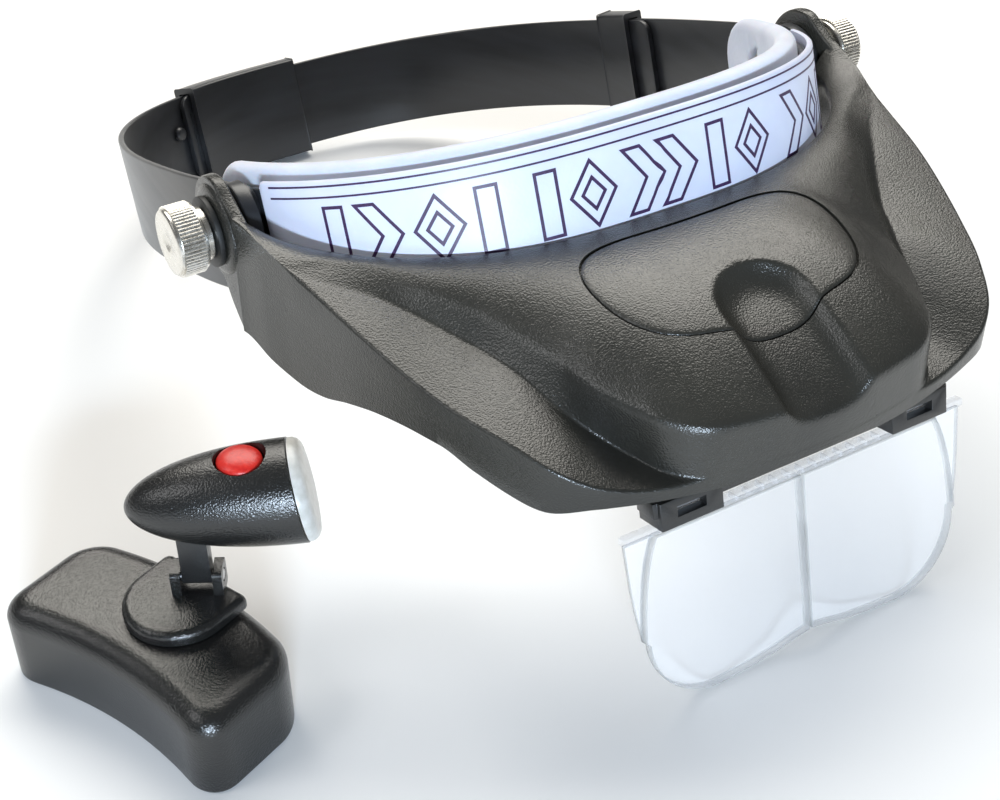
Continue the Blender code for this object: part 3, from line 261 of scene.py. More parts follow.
foam_grey, tree, shader, place = start_finish(
    "pad_foam", 0.62, Sheen_Weight=0.25, Sheen_Roughness=0.6,
    Subsurface_Weight=0.15, Subsurface_Scale=0.003)
tone = noise(tree, place, 90.0, 3.0)
tint(tree, shader, tone, (0.62, 0.67, 0.80), (0.74, 0.79, 0.91))
pores = add(tree, "ShaderNodeTexVoronoi", feature="F1")
pores.inputs["Scale"].default_value = 900.0
tree.links.new(place, pores.inputs["Vector"])
tree.links.new(bump(tree, pores.outputs["Distance"], 0.00008, 0.5), shader.inputs["Normal"])

violet_ink, tree, shader, place = start_finish("violet_ink", 0.45)
patchy = noise(tree, place, 1200.0, 2.0)
tint(tree, shader, patchy, (0.030, 0.010, 0.050), (0.065, 0.030, 0.105), (0.25, 0.8))
tree.links.new(bump(tree, patchy, 0.00001), shader.inputs["Normal"])
print("pad finishes:", vinyl_white.name, foam_grey.name, violet_ink.name)

# %% [markdown]
# ## Metals
# The thumb knobs are nickel-plated brass. Their faces were turned on a lathe, so fine rings
# run round the screw's axis. Screws and washers inside are plain steel with a scattered grain.
# %% Metals


def metal(name, dark, light, roughness, scale=900.0, depth=0.000012):
    finish, tree, shader, place = start_finish(name, roughness, 1.0)
    mottle = noise(tree, place, scale, 3.0)
    tint(tree, shader, mottle, dark, light)
    roughen(tree, shader, mottle, roughness - 0.06, roughness + 0.08)
    tree.links.new(bump(tree, mottle, depth), shader.inputs["Normal"])
    return finish


steel = metal("bright_steel", (0.44, 0.44, 0.45), (0.62, 0.62, 0.63), 0.30)
chrome = metal("mirror_chrome", (0.80, 0.80, 0.82), (0.88, 0.88, 0.90), 0.12, 300.0, 0.000002)

RING_RATE = 21000.0  # radians of ring pattern to the metre
nickel, tree, shader, place = start_finish("turned_nickel", 0.27, 1.0)
square_on = add(tree, "ShaderNodeVectorMath", operation="SUBTRACT")
square_on.inputs[1].default_value = PIVOT.translation
tree.links.new(place, square_on.inputs[0])
flatten = add(tree, "ShaderNodeVectorMath", operation="MULTIPLY")
flatten.inputs[1].default_value = (0.0, 1.0, 1.0)
tree.links.new(square_on.outputs["Vector"], flatten.inputs[0])
radius = add(tree, "ShaderNodeVectorMath", operation="LENGTH")
tree.links.new(flatten.outputs["Vector"], radius.inputs[0])
phase = math_node(tree, "MULTIPLY", radius.outputs["Value"], RING_RATE)
rings = math_node(tree, "SINE", phase, 0.0)
plating = noise(tree, place, 700.0, 3.0)
tint(tree, shader, plating, (0.68, 0.66, 0.61), (0.84, 0.82, 0.77))
tree.links.new(bump(tree, rings, 0.0000035, 1.0, bump(tree, plating, 0.00001)),
               shader.inputs["Normal"])
roughen(tree, shader, plating, 0.2, 0.34)
print("turned rings are", round(math.tau / RING_RATE * 1000, 2), "mm apart")

# %% [markdown]
# ## Clear acrylic, button rubber and small parts
# The lenses are thin clear acrylic. Light that bends through a closed slab would turn them
# dark here, so a low alpha lets the table show through and the gloss stays on top. The cut
# edges get a darker, denser version of the same finish: painted shade that stands in for the
# dark lines that refraction draws along a cut edge. The lamp's button is red silicone. The
# cells, the board and the dark washers are mostly hidden, yet get their own finish because
# the doors and covers open.
# %% Acrylic and small parts


def clear_plastic(name, dark, light, alpha):
    finish, tree, shader, place = start_finish(
        name, 0.04, IOR=1.49, Alpha=alpha, Specular_IOR_Level=0.4)
    haze = noise(tree, place, 60.0, 2.0)
    tint(tree, shader, haze, dark, light)
    roughen(tree, shader, haze, 0.02, 0.07)
    tree.links.new(bump(tree, haze, 0.00002, 0.4), shader.inputs["Normal"])
    return finish


acrylic = clear_plastic("clear_acrylic", (0.90, 0.90, 0.92), (0.96, 0.96, 0.97), 0.2)
# painted shade: a darker grey, denser finish for the cut edges, standing in for the dark lines
# refraction draws there
acrylic_edge_painted_shade = clear_plastic("acrylic_edge_painted_shade", (0.30, 0.31, 0.31), (0.62, 0.63, 0.62), 0.55)

frosted, tree, shader, place = start_finish("frosted_acrylic", 0.3, Transmission_Weight=0.35,
                                            IOR=1.49)
tint(tree, shader, noise(tree, place, 500.0, 3.0), (0.66, 0.66, 0.62), (0.88, 0.88, 0.86))
tree.links.new(bump(tree, noise(tree, place, 900.0, 2.0), 0.00006), shader.inputs["Normal"])


def coloured(name, dark, light, roughness, scale=900.0, depth=0.00003, **constants):
    finish, tree, shader, place = start_finish(name, roughness, **constants)
    tone = noise(tree, place, scale, 3.0)
    tint(tree, shader, tone, dark, light)
    roughen(tree, shader, tone, roughness - 0.05, roughness + 0.06)
    tree.links.new(bump(tree, tone, depth), shader.inputs["Normal"])
    return finish


button_red = coloured("red_silicone", (0.50, 0.012, 0.010), (0.66, 0.028, 0.018), 0.36, 1200.0,
                      0.00005,
                      Subsurface_Weight=0.1, Subsurface_Scale=0.001)
washer_black = coloured("black_fibre", (0.008, 0.008, 0.008), (0.018, 0.018, 0.018), 0.5)
cell_wrap = coloured("cell_wrap", (0.03, 0.10, 0.26), (0.05, 0.15, 0.34), 0.3)
board_green = coloured("board_green", (0.015, 0.10, 0.04), (0.03, 0.15, 0.06), 0.45)
print("finishes made:", len(bpy.data.materials))

# %% [markdown]
# ## Mesh helpers
# Most pieces here are closed skins through a row of matching sections, or shapes turned on an
# axis. A copied solid can also be merged and bevelled, which gives a plain block the small
# edge radius that every moulding has.
# %% Mesh helpers


def made_piece(name, points, faces, place, finish, sharp=40.0):
    """A mesh object at the origin from millimetre points, with its place in its vertices."""
    mesh = bpy.data.meshes.new(name)
    mesh.from_pydata([place @ (Vector(point) * MM) for point in points], [], faces)
    shell = bmesh.new()
    shell.from_mesh(mesh)
    bmesh.ops.remove_doubles(shell, verts=shell.verts, dist=WELD)
    bmesh.ops.recalc_face_normals(shell, faces=shell.faces)
    shell.to_mesh(mesh)
    shell.free()
    mesh.shade_smooth()
    mesh.set_sharp_from_angle(angle=math.radians(sharp))
    piece = bpy.data.objects.new(name, mesh)
    bpy.context.scene.collection.objects.link(piece)
    mesh.materials.append(finish)
    return piece


def loft(name, loops, place, finish, sharp=40.0, closed=False):
    """A skin through matching loops, capped at its ends unless it closes on itself."""
    count = len(loops[0])
    points = [tuple(point) for loop in loops for point in loop]
    rows = len(loops)
    faces = [(k * count + i, k * count + (i + 1) % count, (k + 1) % rows * count + (i + 1) % count,
              (k + 1) % rows * count + i)
             for k in range(rows if closed else rows - 1) for i in range(count)]
    if not closed:
        faces += [tuple(range(count)), tuple(range(len(points) - count, len(points)))]
    return made_piece(name, points, faces, place, finish, sharp)


def lathe(name, profile, place, finish, axis="X", segments=64, centre=(0, 0, 0), sharp=40.0):
    """Turns (along, radius) points about an axis through centre."""
    order = {"X": (0, 1, 2), "Y": (1, 2, 0), "Z": (2, 0, 1)}[axis]
    points, rings = [], []
    for along, size in profile:
        ring = []
        for k in range(segments if size > 1e-9 else 1):
            angle = math.tau * k / segments
            point = [0.0, 0.0, 0.0]
            point[order[0]] = along
            point[order[1]], point[order[2]] = size * math.cos(angle), size * math.sin(angle)
            ring.append(len(points))
            points.append(tuple(a + b for a, b in zip(point, centre)))
        rings.append(ring)
    faces = []
    for a, b in zip(rings, rings[1:]):
        for k in range(segments):
            face = tuple(dict.fromkeys((a[k % len(a)], a[(k + 1) % len(a)], b[(k + 1) % len(b)],
                                        b[k % len(b)])))
            if len(face) > 2:
                faces.append(face)
    return made_piece(name, points, faces, place, finish, sharp)


def freeze(piece, sharp=None):
    """Applies the modifiers and keeps the result as a plain mesh."""
    graph = bpy.context.evaluated_depsgraph_get()
    mesh = bpy.data.meshes.new_from_object(piece.evaluated_get(graph),
                                           preserve_all_data_layers=True, depsgraph=graph)
    piece.modifiers.clear()
    piece.data = mesh
    if sharp:
        mesh.set_sharp_from_angle(angle=math.radians(sharp))
    return piece


def cut_or_join(piece, other, operation):
    """Cuts a helper solid from a piece, or joins it on, and removes the helper."""
    change = piece.modifiers.new(other.name, "BOOLEAN")
    change.operation, change.solver, change.object = operation, "MANIFOLD", other
    freeze(piece)
    bpy.data.objects.remove(other)


def bevelled(piece, width, segments=3, angle=30.0):
    """Rounds a piece's sharp edges by width millimetres."""
    change = piece.modifiers.new("edge radius", "BEVEL")
    change.width, change.segments = width * MM, segments
    change.limit_method, change.angle_limit = "ANGLE", math.radians(angle)
    change.use_clamp_overlap = True
    return freeze(piece, 40.0)


def softened(node, width, finish, body, slot):
    """A copy of a CAD node with merged doubles and rounded edges; it stands for the node."""
    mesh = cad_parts[node].data.copy()
    skin = bmesh.new()
    skin.from_mesh(mesh)
    bmesh.ops.remove_doubles(skin, verts=skin.verts, dist=2e-6)
    bmesh.ops.dissolve_limit(skin, angle_limit=math.radians(1.0), verts=skin.verts,
                             edges=skin.edges)
    skin.to_mesh(mesh)
    skin.free()
    piece = bpy.data.objects.new(node + "_piece", mesh)
    bpy.context.scene.collection.objects.link(piece)
    mesh.materials.clear()
    mesh.materials.append(finish)
    mesh.shade_smooth()
    bevelled(piece, width, 2)
    return settle(piece, body, slot, node)


def settle(piece, body, slot, *nodes):
    """Hands a piece to its body and hides the CAD nodes that it stands for; the slot is not used.
    """
    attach(piece, body)
    if nodes:
        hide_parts(*nodes)
    return piece


def smooth_value(table, at):
    """A smooth curve through a short table of (station, value), read at one station or many."""
    stations, values = (np.array(column, float) for column in zip(*table))
    steps = np.diff(values) / np.diff(stations)
    slopes = np.concatenate([[0.0],
                             np.where(steps[1:] * steps[:-1] > 0, (steps[1:] + steps[:-1]) / 2,
                                      0.0), [0.0]])
    at = np.clip(np.asarray(at, float), stations[0], stations[-1])
    left = np.clip(np.searchsorted(stations, at, side="right") - 1, 0, len(stations) - 2)
    width = stations[left + 1] - stations[left]
    t = (at - stations[left]) / width
    return (values[left] * (1 + 2 * t) * (1 - t) ** 2 + values[left + 1] * t * t * (3 - 2 * t)
            + width * (slopes[left] * t * (1 - t) ** 2 + slopes[left + 1] * t * t * (t - 1)))


def rounded_box(low, high, radius, steps=4):
    """Outline of a rectangle (x, y) with rounded corners, anticlockwise."""
    out = []
    for cx, cy, start in ((high[0], high[1], 0), (low[0], high[1], 90), (low[0], low[1], 180),
                          (high[0], low[1], 270)):
        mx = cx - radius if cx == high[0] else cx + radius
        my = cy - radius if cy == high[1] else cy + radius
        for k in range(steps + 1):
            turn = math.radians(start + 90 * k / steps)
            out.append((mx + radius * math.cos(turn), my + radius * math.sin(turn)))
    return out


print("mesh helpers ready")

# %% [markdown]
# ## The headband's ring
# Seen from above, the band is a superellipse: rounder than a rectangle, squarer than an
# ellipse. Everything on the band is placed by an angle round that ring, a distance outwards
# and a height, so one short function serves straps, foam and print.
# %% Headband ring
HEAD_HALF_WIDTH, HEAD_REAR, HEAD_FRONT = 77.5, 119.8, 88.6
REAR_ROUNDNESS, FRONT_ROUNDNESS = 2.48, 2.6
BAND_HEIGHT, BAND_THICKNESS, GAP = 26.0, 1.6, 0.3


def ring_point(angle, offset):
    c, s = math.cos(math.radians(angle)), math.sin(math.radians(angle))
    depth, roundness = (HEAD_REAR, REAR_ROUNDNESS) if s > 0 else (HEAD_FRONT, FRONT_ROUNDNESS)
    return ((HEAD_HALF_WIDTH + offset) * math.copysign(abs(c) ** (2 / roundness), c),
            (depth + offset) * math.copysign(abs(s) ** (2 / roundness), s))


ring_table = np.arange(0.0, 400.01, 0.5)
ring_places = np.array([ring_point(angle, 0.0) for angle in ring_table])
ring_length = np.concatenate([[0.0],
                              np.cumsum(np.linalg.norm(np.diff(ring_places, axis=0), axis=1))])


def along_ring(angle):
    return float(np.interp(angle, ring_table, ring_length))


def ring_angle(length):
    return float(np.interp(length, ring_length, ring_table))


def band_stations(span, step=1.6, ends=()):
    """Angles at even steps along the ring, with extra stations close to the ends."""
    start, end = along_ring(span[0]), along_ring(span[1])
    places = set(np.linspace(start, end, max(3, round((end - start) / step))))
    places |= {start + e for e in ends} | {end - e for e in ends}
    return [(ring_angle(p), min(p - start, end - p)) for p in sorted(places)]


def band_strip(name, span, offsets, heights, finish, edge=0.5, corner=4.0):
    """A strap along the ring with rounded edges and rounded end corners."""
    near, far = offsets
    loops = []
    for angle, inside in band_stations(span, 1.6, (0.15, 0.5, 1.0, 1.8, 2.8)):
        cut = corner - math.sqrt(max(corner ** 2 - (corner - inside) ** 2,
                                     0.0)) if inside < corner else 0.0
        section = rounded_box((near, heights[0] + cut), (far, heights[1] - cut), edge, 3)
        loops.append([(*ring_point(angle, offset), height) for offset, height in section])
    return loft(name, loops, BAND, finish, 50.0)


print("the whole ring is", round(along_ring(360.0)), "mm round")

# %% [markdown]
# ## Straps and arms
# The black arms run back from each temple. At the nape the left one passes through a square
# sleeve with the rear strap inside it, and a peg locks the two. Round bosses are joined on
# where the visor pivots, then bored.
# %% Straps and arms
PIVOT_FORWARD, STUD_BORE = 39.1, 2.7
EAR_INSIDE, EAR_OUTSIDE, EAR_BOSS_FACE = 79.427, 82.427, 83.427
ARM_FACE, KNOB_BASE, NUT_OUTSIDE = 78.027, 85.227, 70.152
ARM_BOSS_ROOT, ARM_BOSS_RADIUS = 74.9, 9.0
BORE_SPAN = (50.0, 90.0)
REAR_STRAP_SPAN = (8.0, 116.0)


def on_axis(name, radius, near, far, side, finish, segments=64):
    """A plain cylinder on the visor's pivot axis."""
    return lathe(name,
                 ((side * near, 0.0), (side * near, radius), (side * far, radius),
                  (side * far, 0.0)), PIVOT,
                 finish, segments=segments)


arms = {}
for side, label, span in ((-1, "left", (92.0, 203.0)), (1, "right", (337.0, 377.0))):
    arm = band_strip(f"{label}_arm_strap", span, (GAP, GAP + BAND_THICKNESS), (0.0, BAND_HEIGHT),
                     strap_black)
    profile = ((ARM_BOSS_ROOT, 0.0), (ARM_BOSS_ROOT, ARM_BOSS_RADIUS),
               (ARM_FACE - 0.5, ARM_BOSS_RADIUS),
               (ARM_FACE - 0.1, ARM_BOSS_RADIUS - 0.2), (ARM_FACE, ARM_BOSS_RADIUS - 0.6),
               (ARM_FACE, 0.0))
    boss = lathe(f"{label}_boss", [(side * x, r) for x, r in profile], PIVOT, strap_black)
    cut_or_join(arm, boss, "UNION")
    cut_or_join(arm, on_axis("bore", STUD_BORE, *BORE_SPAN, side, strap_black, 32), "DIFFERENCE")
    arms[label] = arm
settle(arms["left"], "headband", "black_strap", "left_arm")
settle(arms["right"], "headband", "black_strap", "right_arm")

front_band = band_strip("brow_band", (192.0, 348.0), (-BAND_THICKNESS, 0.0),
                        (1.0, BAND_HEIGHT - 1.5), strap_black)
for side in (-1, 1):
    cut_or_join(front_band, on_axis("bore", STUD_BORE, *BORE_SPAN, side, strap_black, 32),
                "DIFFERENCE")
settle(front_band, "headband", "black_strap", "front_band")
rear_strap = band_strip("nape_strap", REAR_STRAP_SPAN, (-BAND_THICKNESS, 0.0), (0.0, BAND_HEIGHT),
                        strap_black)
settle(rear_strap, "headband", "black_strap", "rear_strap")
strap_start, strap_end = (along_ring(angle) for angle in REAR_STRAP_SPAN)
print("nape strap is", round(strap_end - strap_start), "mm long")

# %% [markdown]
# ## Ratchet teeth on the nape strap
# The strap is adjusted by teeth moulded across its inner face. They repeat along a curve, so
# Geometry Nodes place them: a curve is resampled at an even pitch and a small tooth is set on
# each point, turned to follow the curve.
# %% Repeat along a path with Geometry Nodes


def repeat_tree(name, finish, inputs):
    """An empty Geometry Nodes tree with a geometry input, named size inputs and a finish."""
    tree = bpy.data.node_groups.new(name, "GeometryNodeTree")
    tree.interface.new_socket("Geometry", in_out="INPUT", socket_type="NodeSocketGeometry")
    for label, kind in inputs:
        tree.interface.new_socket(label, in_out="INPUT", socket_type=kind)
    tree.interface.new_socket("Geometry", in_out="OUTPUT", socket_type="NodeSocketGeometry")
    source, sink = tree.nodes.new("NodeGroupInput"), tree.nodes.new("NodeGroupOutput")
    real = tree.nodes.new("GeometryNodeRealizeInstances")
    paint = tree.nodes.new("GeometryNodeSetMaterial")
    paint.inputs["Material"].default_value = finish
    tree.links.new(real.outputs["Geometry"], paint.inputs["Geometry"])
    tree.links.new(paint.outputs["Geometry"], sink.inputs["Geometry"])
    return tree, source, real


def join_nodes(tree, pairs):
    for output, target in pairs:
        tree.links.new(output, target)


def grown(piece, tree, sizes, sharp=None):
    """Runs a tree on a piece. Each named size goes to its socket's identifier first."""
    change = piece.modifiers.new(tree.name, "NODES")
    change.node_group = tree
    for socket in tree.interface.items_tree:
        if socket.name in sizes:
            change[socket.identifier] = sizes[socket.name]
    return freeze(piece, sharp)


def along_path_tree(name, finish):
    """Sets a box at an even pitch on a curve, lined up with the curve and its up direction."""
    tree, source, real = repeat_tree(name, finish, (("Pitch", "NodeSocketFloat"),
                                                    ("Tooth size", "NodeSocketVector")))
    resample = tree.nodes.new("GeometryNodeResampleCurve")
    resample.mode = "LENGTH"
    box = tree.nodes.new("GeometryNodeMeshCube")
    tangent = tree.nodes.new("GeometryNodeInputTangent")
    align = tree.nodes.new("FunctionNodeAxesToRotation")
    align.primary_axis, align.secondary_axis = "X", "Z"
    normal = tree.nodes.new("GeometryNodeInputNamedAttribute")
    normal.data_type = "FLOAT_VECTOR"
    normal.inputs["Name"].default_value = "up"
    spread = tree.nodes.new("GeometryNodeInstanceOnPoints")
    to_curve = tree.nodes.new("GeometryNodeMeshToCurve")
    join_nodes(tree, (
        (source.outputs["Geometry"], to_curve.inputs["Mesh"]),
        (to_curve.outputs["Curve"], resample.inputs["Curve"]),
        (source.outputs["Pitch"], resample.inputs["Length"]),
        (resample.outputs["Curve"], spread.inputs["Points"]),
        (source.outputs["Tooth size"], box.inputs["Size"]),
        (box.outputs["Mesh"], spread.inputs["Instance"]),
        (tangent.outputs["Tangent"], align.inputs["Primary Axis"]),
        (normal.outputs["Attribute"], align.inputs["Secondary Axis"]),
        (align.outputs["Rotation"], spread.inputs["Rotation"]),
        (spread.outputs["Instances"], real.inputs["Geometry"])))
    return tree


def repeated_along(name, line, tree, sizes, place):
    """Runs a path tree on a polyline in millimetres and returns the plain mesh."""
    mesh = bpy.data.meshes.new(name)
    mesh.from_pydata([place @ (Vector(p) * MM) for p in line],
                     [(k, k + 1) for k in range(len(line) - 1)], [])
    direction = (place.to_3x3() @ Vector((0, 0, 1))).normalized()
    attribute = mesh.attributes.new("up", "FLOAT_VECTOR", "POINT")
    attribute.data.foreach_set("vector", list(direction) * len(line))
    piece = bpy.data.objects.new(name, mesh)
    bpy.context.scene.collection.objects.link(piece)
    return grown(piece, tree, sizes)


TOOTH_SIZES = {"Pitch": 2.4 * MM, "Tooth size": (1.1 * MM, 0.5 * MM, 15.0 * MM)}
TOOTH_SINK = 0.05
tooth_tree = along_path_tree("teeth along a strap", strap_black)
tooth_line = [(*ring_point(angle, -BAND_THICKNESS + TOOTH_SINK), BAND_HEIGHT / 2)
              for angle in np.arange(97.0, 114.1, 0.5)]
teeth = repeated_along("strap_teeth", tooth_line, tooth_tree, TOOTH_SIZES, BAND)
settle(teeth, "headband", "black_strap")
print("teeth:", len(teeth.data.polygons) // 6)

# %% [markdown]
# ## Sleeve, keeper and peg
# The square sleeve and the keeper wrap both straps. A rectangular tube swept round the ring
# with a small edge radius gives the highlight that runs down each corner, and its two mouths
# flare by a quarter of a millimetre.
# %% Sleeve, keeper and peg
WRAP_WALL = 1.5


def wrap_loop(name, span, body, node):
    inner, outer = -BAND_THICKNESS - GAP, BAND_THICKNESS + 2 * GAP
    middle_x, middle_z = (inner + outer) / 2, BAND_HEIGHT / 2
    outside = rounded_box((inner - WRAP_WALL, -WRAP_WALL - GAP),
                          (outer + WRAP_WALL, BAND_HEIGHT + WRAP_WALL + GAP), 0.8, 3)
    inside = rounded_box((inner, -GAP), (outer, BAND_HEIGHT + GAP), 0.2, 3)
    stations = band_stations(span, 1.5, (0.2, 0.6))
    loops = []
    for angle, depth in stations:
        flare = 0.25 if depth < 0.1 else 0.07 if depth < 0.3 else 0.0
        loops.append([(*ring_point(angle, x + math.copysign(flare, x - middle_x)),
                       z + math.copysign(flare, z - middle_z)) for x, z in outside])
    inner_loops = [[(*ring_point(angle, x), z) for x, z in inside] for angle,
                   _ in reversed(stations)]
    piece = loft(name, loops + inner_loops, BAND, strap_black, 50.0, closed=True)
    return settle(piece, body, "black_strap", node)


sleeve = wrap_loop("nape_sleeve", (89.5, 113.5), "sleeve", "strap_sleeve")
wrap_loop("temple_keeper", (11.5, 17.5), "keeper", "keeper_loop")
softened("strap_peg", 0.3, strap_black, "headband", "black_strap")
print("sleeve faces:", len(sleeve.data.polygons))

# %% [markdown]
# ## Brow pad
# The foam is a soft strip whose long edges are fully round and whose ends taper and round
# off. It swells a little between the places where it is held, so its thickness wavers by a
# few tenths of a millimetre. The vinyl face is a thin skin over the band with a rolled edge.
# %% Brow foam
FOAM_LOW, FOAM_HIGH, FOAM_THICKNESS, FOAM_TAPER = -3.0, 29.0, 5.0, 9.0
NUT_POCKET_RADIUS, NUT_POCKET_DEPTH = 5.6, 3.9


def foam_section(squeeze, swell, steps=10):
    middle, half = (FOAM_LOW + FOAM_HIGH) / 2, (FOAM_HIGH - FOAM_LOW) / 2 * squeeze
    back, size = -BAND_THICKNESS - GAP, FOAM_THICKNESS / 2
    section = []
    for side, turn in ((1, 0.0), (-1, 180.0)):
        for k in range(steps + 1):
            angle = math.radians(turn + 180 * k / steps)
            section.append((back - size + size * math.cos(angle),
                            middle + side * (half - size) + size * math.sin(angle)))
    face = []
    for k in range(1, 6):  # the inner face bellies towards the brow
        share = k / 6
        face.append((back - 2 * size - swell * math.sin(math.pi * share),
                     middle + (half - size) * (1 - 2 * share)))
    return section[:steps + 1] + face + section[steps + 1:]


loops = []
for angle, inside in band_stations((190.0, 350.0), 1.8, (0.3, 0.9, 1.8, 3.0, 4.6, 6.4)):
    share = min(inside / FOAM_TAPER, 1.0)
    squeeze = 0.45 + 0.55 * math.sqrt(max(0.0, 1 - (1 - share) ** 2))
    swell = 0.35 * share * (1 + 0.4 * math.sin(inside * 0.21))
    loops.append([(*ring_point(angle, offset), height) for offset,
                  height in foam_section(squeeze, swell)])
foam = loft("brow_foam", loops, BAND, foam_grey, 60.0)
for side in (-1, 1):
    cut_or_join(foam,
                on_axis("nut_pocket", NUT_POCKET_RADIUS, NUT_OUTSIDE - NUT_POCKET_DEPTH, ARM_FACE,
                              side, foam_grey, 32), "DIFFERENCE")
settle(foam, "headband", "grey_foam", "forehead_foam")

# %% [markdown]
# ## Vinyl face
# The vinyl is a thin strip folded over at its edges. The section below is that strip with its
# corners rolled back, and the roll tightens towards the two ends.
# %% Vinyl face
VINYL_BACK, VINYL_THICKNESS = GAP, 1.2
VINYL_LOW, VINYL_HIGH, VINYL_SPAN = -1.0, 26.5, (205.0, 335.0)
vinyl_face = VINYL_BACK + VINYL_THICKNESS
loops = []
for angle, inside in band_stations(VINYL_SPAN, 1.4, (0.12, 0.35, 0.7)):
    cut = 0.6 * max(0.0, 1 - inside / 0.7) ** 2
    low, high = VINYL_LOW + cut, VINYL_HIGH - cut
    section = [(VINYL_BACK, high - 0.2), (VINYL_BACK, low + 0.2), (VINYL_BACK + 0.3, low),
               (vinyl_face - 0.35, low + 0.05),
               (vinyl_face, low + 0.5), (vinyl_face, low + 8.0), (vinyl_face, (low + high) / 2),
               (vinyl_face, high - 8.0),
               (vinyl_face, high - 0.5), (vinyl_face - 0.35, high - 0.05), (VINYL_BACK + 0.3, high)]
    loops.append([(*ring_point(angle, offset), height) for offset, height in section])
vinyl = loft("brow_vinyl", loops, BAND, vinyl_white, 50.0)
settle(vinyl, "headband", "white_vinyl", "pad_cover")
pad_start, pad_end = (along_ring(angle) for angle in VINYL_SPAN)
print("vinyl is", round(pad_end - pad_start), "mm long")

# %% [markdown]
# ## Print on the vinyl
# The real pad carries words. Here the same violet outline ink draws plain geometric shapes:
# bars, diamonds and chevrons in three groups, between two thin lines above and one below.
# Each stroke is a thin ribbon of ink that follows the ring, built from a line drawn in
# millimetres along the pad and up it.
# %% Ribbons of ink
INK_THICKNESS, LINE_WIDTH, SHAPE_WIDTH = 0.06, 0.42, 0.72
LINE_HEIGHTS, LINE_INSET, SHAPE_LOW, SHAPE_HIGH = (25.3, 22.9, 4.6), 3.0, 6.6, 20.6


def ink_ribbon(points, width, closed):
    """Vertices and faces of one ribbon along a polyline of (along, up) in millimetres."""
    line = [Vector(p) for p in points]
    dense = []
    for k in range(len(line) - (0 if closed else 1)):
        a, b = line[k], line[(k + 1) % len(line)]
        steps = max(1, math.ceil((b - a).length / 2.0))
        dense += [a.lerp(b, j / steps) for j in range(steps)]
    if not closed:
        dense.append(line[-1])
    rows = []
    for k, point in enumerate(dense):
        before = dense[k - 1] if closed or k else point
        after = dense[(k + 1) % len(dense)] if closed or k < len(dense) - 1 else point
        first, second = point - before, after - point
        first = (first if first.length else second).normalized()
        second = second.normalized() if second.length else first
        normal = Vector((-(first.y + second.y), first.x + second.x)).normalized()
        reach = width / 2 / max(normal.dot(Vector((-first.y, first.x))), 0.35)
        corners = []
        for across, lift in ((-reach, -0.1), (reach, -0.1), (reach, INK_THICKNESS),
                             (-reach, INK_THICKNESS)):
            place = point + normal * across
            corners.append((*ring_point(ring_angle(pad_start + place.x), vinyl_face + lift),
                            place.y))
        rows.append(corners)
    points_out = [corner for row in rows for corner in row]
    faces = []
    last = len(rows) if closed else len(rows) - 1
    for k in range(last):
        a, b = 4 * k, 4 * ((k + 1) % len(rows))
        faces += [(a + i, a + (i + 1) % 4, b + (i + 1) % 4, b + i) for i in range(4)]
    if not closed:
        faces += [(0, 1, 2, 3),
                  (4 * len(rows) - 4, 4 * len(rows) - 3, 4 * len(rows) - 2, 4 * len(rows) - 1)]
    return points_out, faces


def bar(x, low, high):
    return [(x, low), (x + 4.4, low), (x + 4.4, high), (x, high)]


def diamond(x, low, high):
    middle = (low + high) / 2
    return [(x + 5.2, low), (x + 10.4, middle), (x + 5.2, high), (x, middle)]


def small_diamond(x, low, high):
    middle = (low + high) / 2
    return [(x + 5.2, low + 3.6), (x + 7.8, middle), (x + 5.2, high - 3.6), (x + 2.6, middle)]


def chevron(x, low, high):
    middle = (low + high) / 2
    return [(x, low), (x + 4.2, low), (x + 9.4, middle), (x + 4.2, high), (x, high),
            (x + 5.0, middle)]


SHAPES = ((bar, 17.0), (chevron, 24.5), (diamond, 36.5), (small_diamond, 36.5), (bar, 50.0),
          (bar, 62.5), (diamond, 69.5), (small_diamond, 69.5), (chevron, 82.5), (chevron, 91.0),
          (bar, 104.0), (diamond, 111.5), (small_diamond, 111.5),
          (chevron, 128.5), (diamond, 140.0), (small_diamond, 140.0), (bar, 153.0), (bar, 160.5))
strokes = [([(LINE_INSET, height), (pad_end - pad_start - LINE_INSET, height)], LINE_WIDTH, False)
           for height in LINE_HEIGHTS]
strokes += [(shape(along, SHAPE_LOW, SHAPE_HIGH), SHAPE_WIDTH, True) for shape, along in SHAPES]
points, faces = [], []
for line, width, closed in strokes:
    more, quads = ink_ribbon(line, width, closed)
    faces += [tuple(i + len(points) for i in quad) for quad in quads]
    points += more
ink = made_piece("pad_print", points, faces, BAND, violet_ink, 50.0)
settle(ink, "headband", "white_vinyl")
print("printed strokes:", len(strokes))

# %% [markdown]
# ## Visor lines
# The visor is described by five lines that run round it: the brow against the pad, the crest
# of the hump, the foot of the fold below it, the sharp upper edge of the skirt, and the rim.
# Each is a short table of heights or insets by station, where 0 is the ear and 90 the middle
# of the front, and a smooth curve runs through the table.
# %% Visor tables
SHELL_WALL, PLAN_CENTRE_FORWARD = 2.5, 9.5
BROW_GAP = ((0, 3.4), (18, 3.0), (40, 1.7), (90, 1.3))
BROW_HEIGHT = ((0, 1.5), (8, 3.0), (19, 4.3), (35, 5.6), (90, 7.0))
WALL_REACH = ((0, 9.9), (7, 11.7), (13, 13.9), (21, 18.6), (30, 25.9), (37, 32.6), (44, 40.1),
              (52, 49.2), (58, 55.8),
              (63, 57.8), (75, 57.8), (90, 58.7))
EDGE_HEIGHT = ((0, 7.6), (7, 6.2), (13, 4.2), (21, 2.3), (30, 0.0), (44, -5.1), (52, -7.5),
               (58, -11.0), (62, -13.8),
               (66, -16.0), (74, -17.0), (90, -16.6))
RIM_HEIGHT = ((0, -22.0), (8, -24.7), (14, -25.6), (20, -24.3), (26, -20.8), (32, -18.0),
              (38, -16.5), (43, -16.3),
              (48, -18.7), (56, -21.8), (62, -19.7), (68, -20.2), (77, -20.6), (90, -18.6))
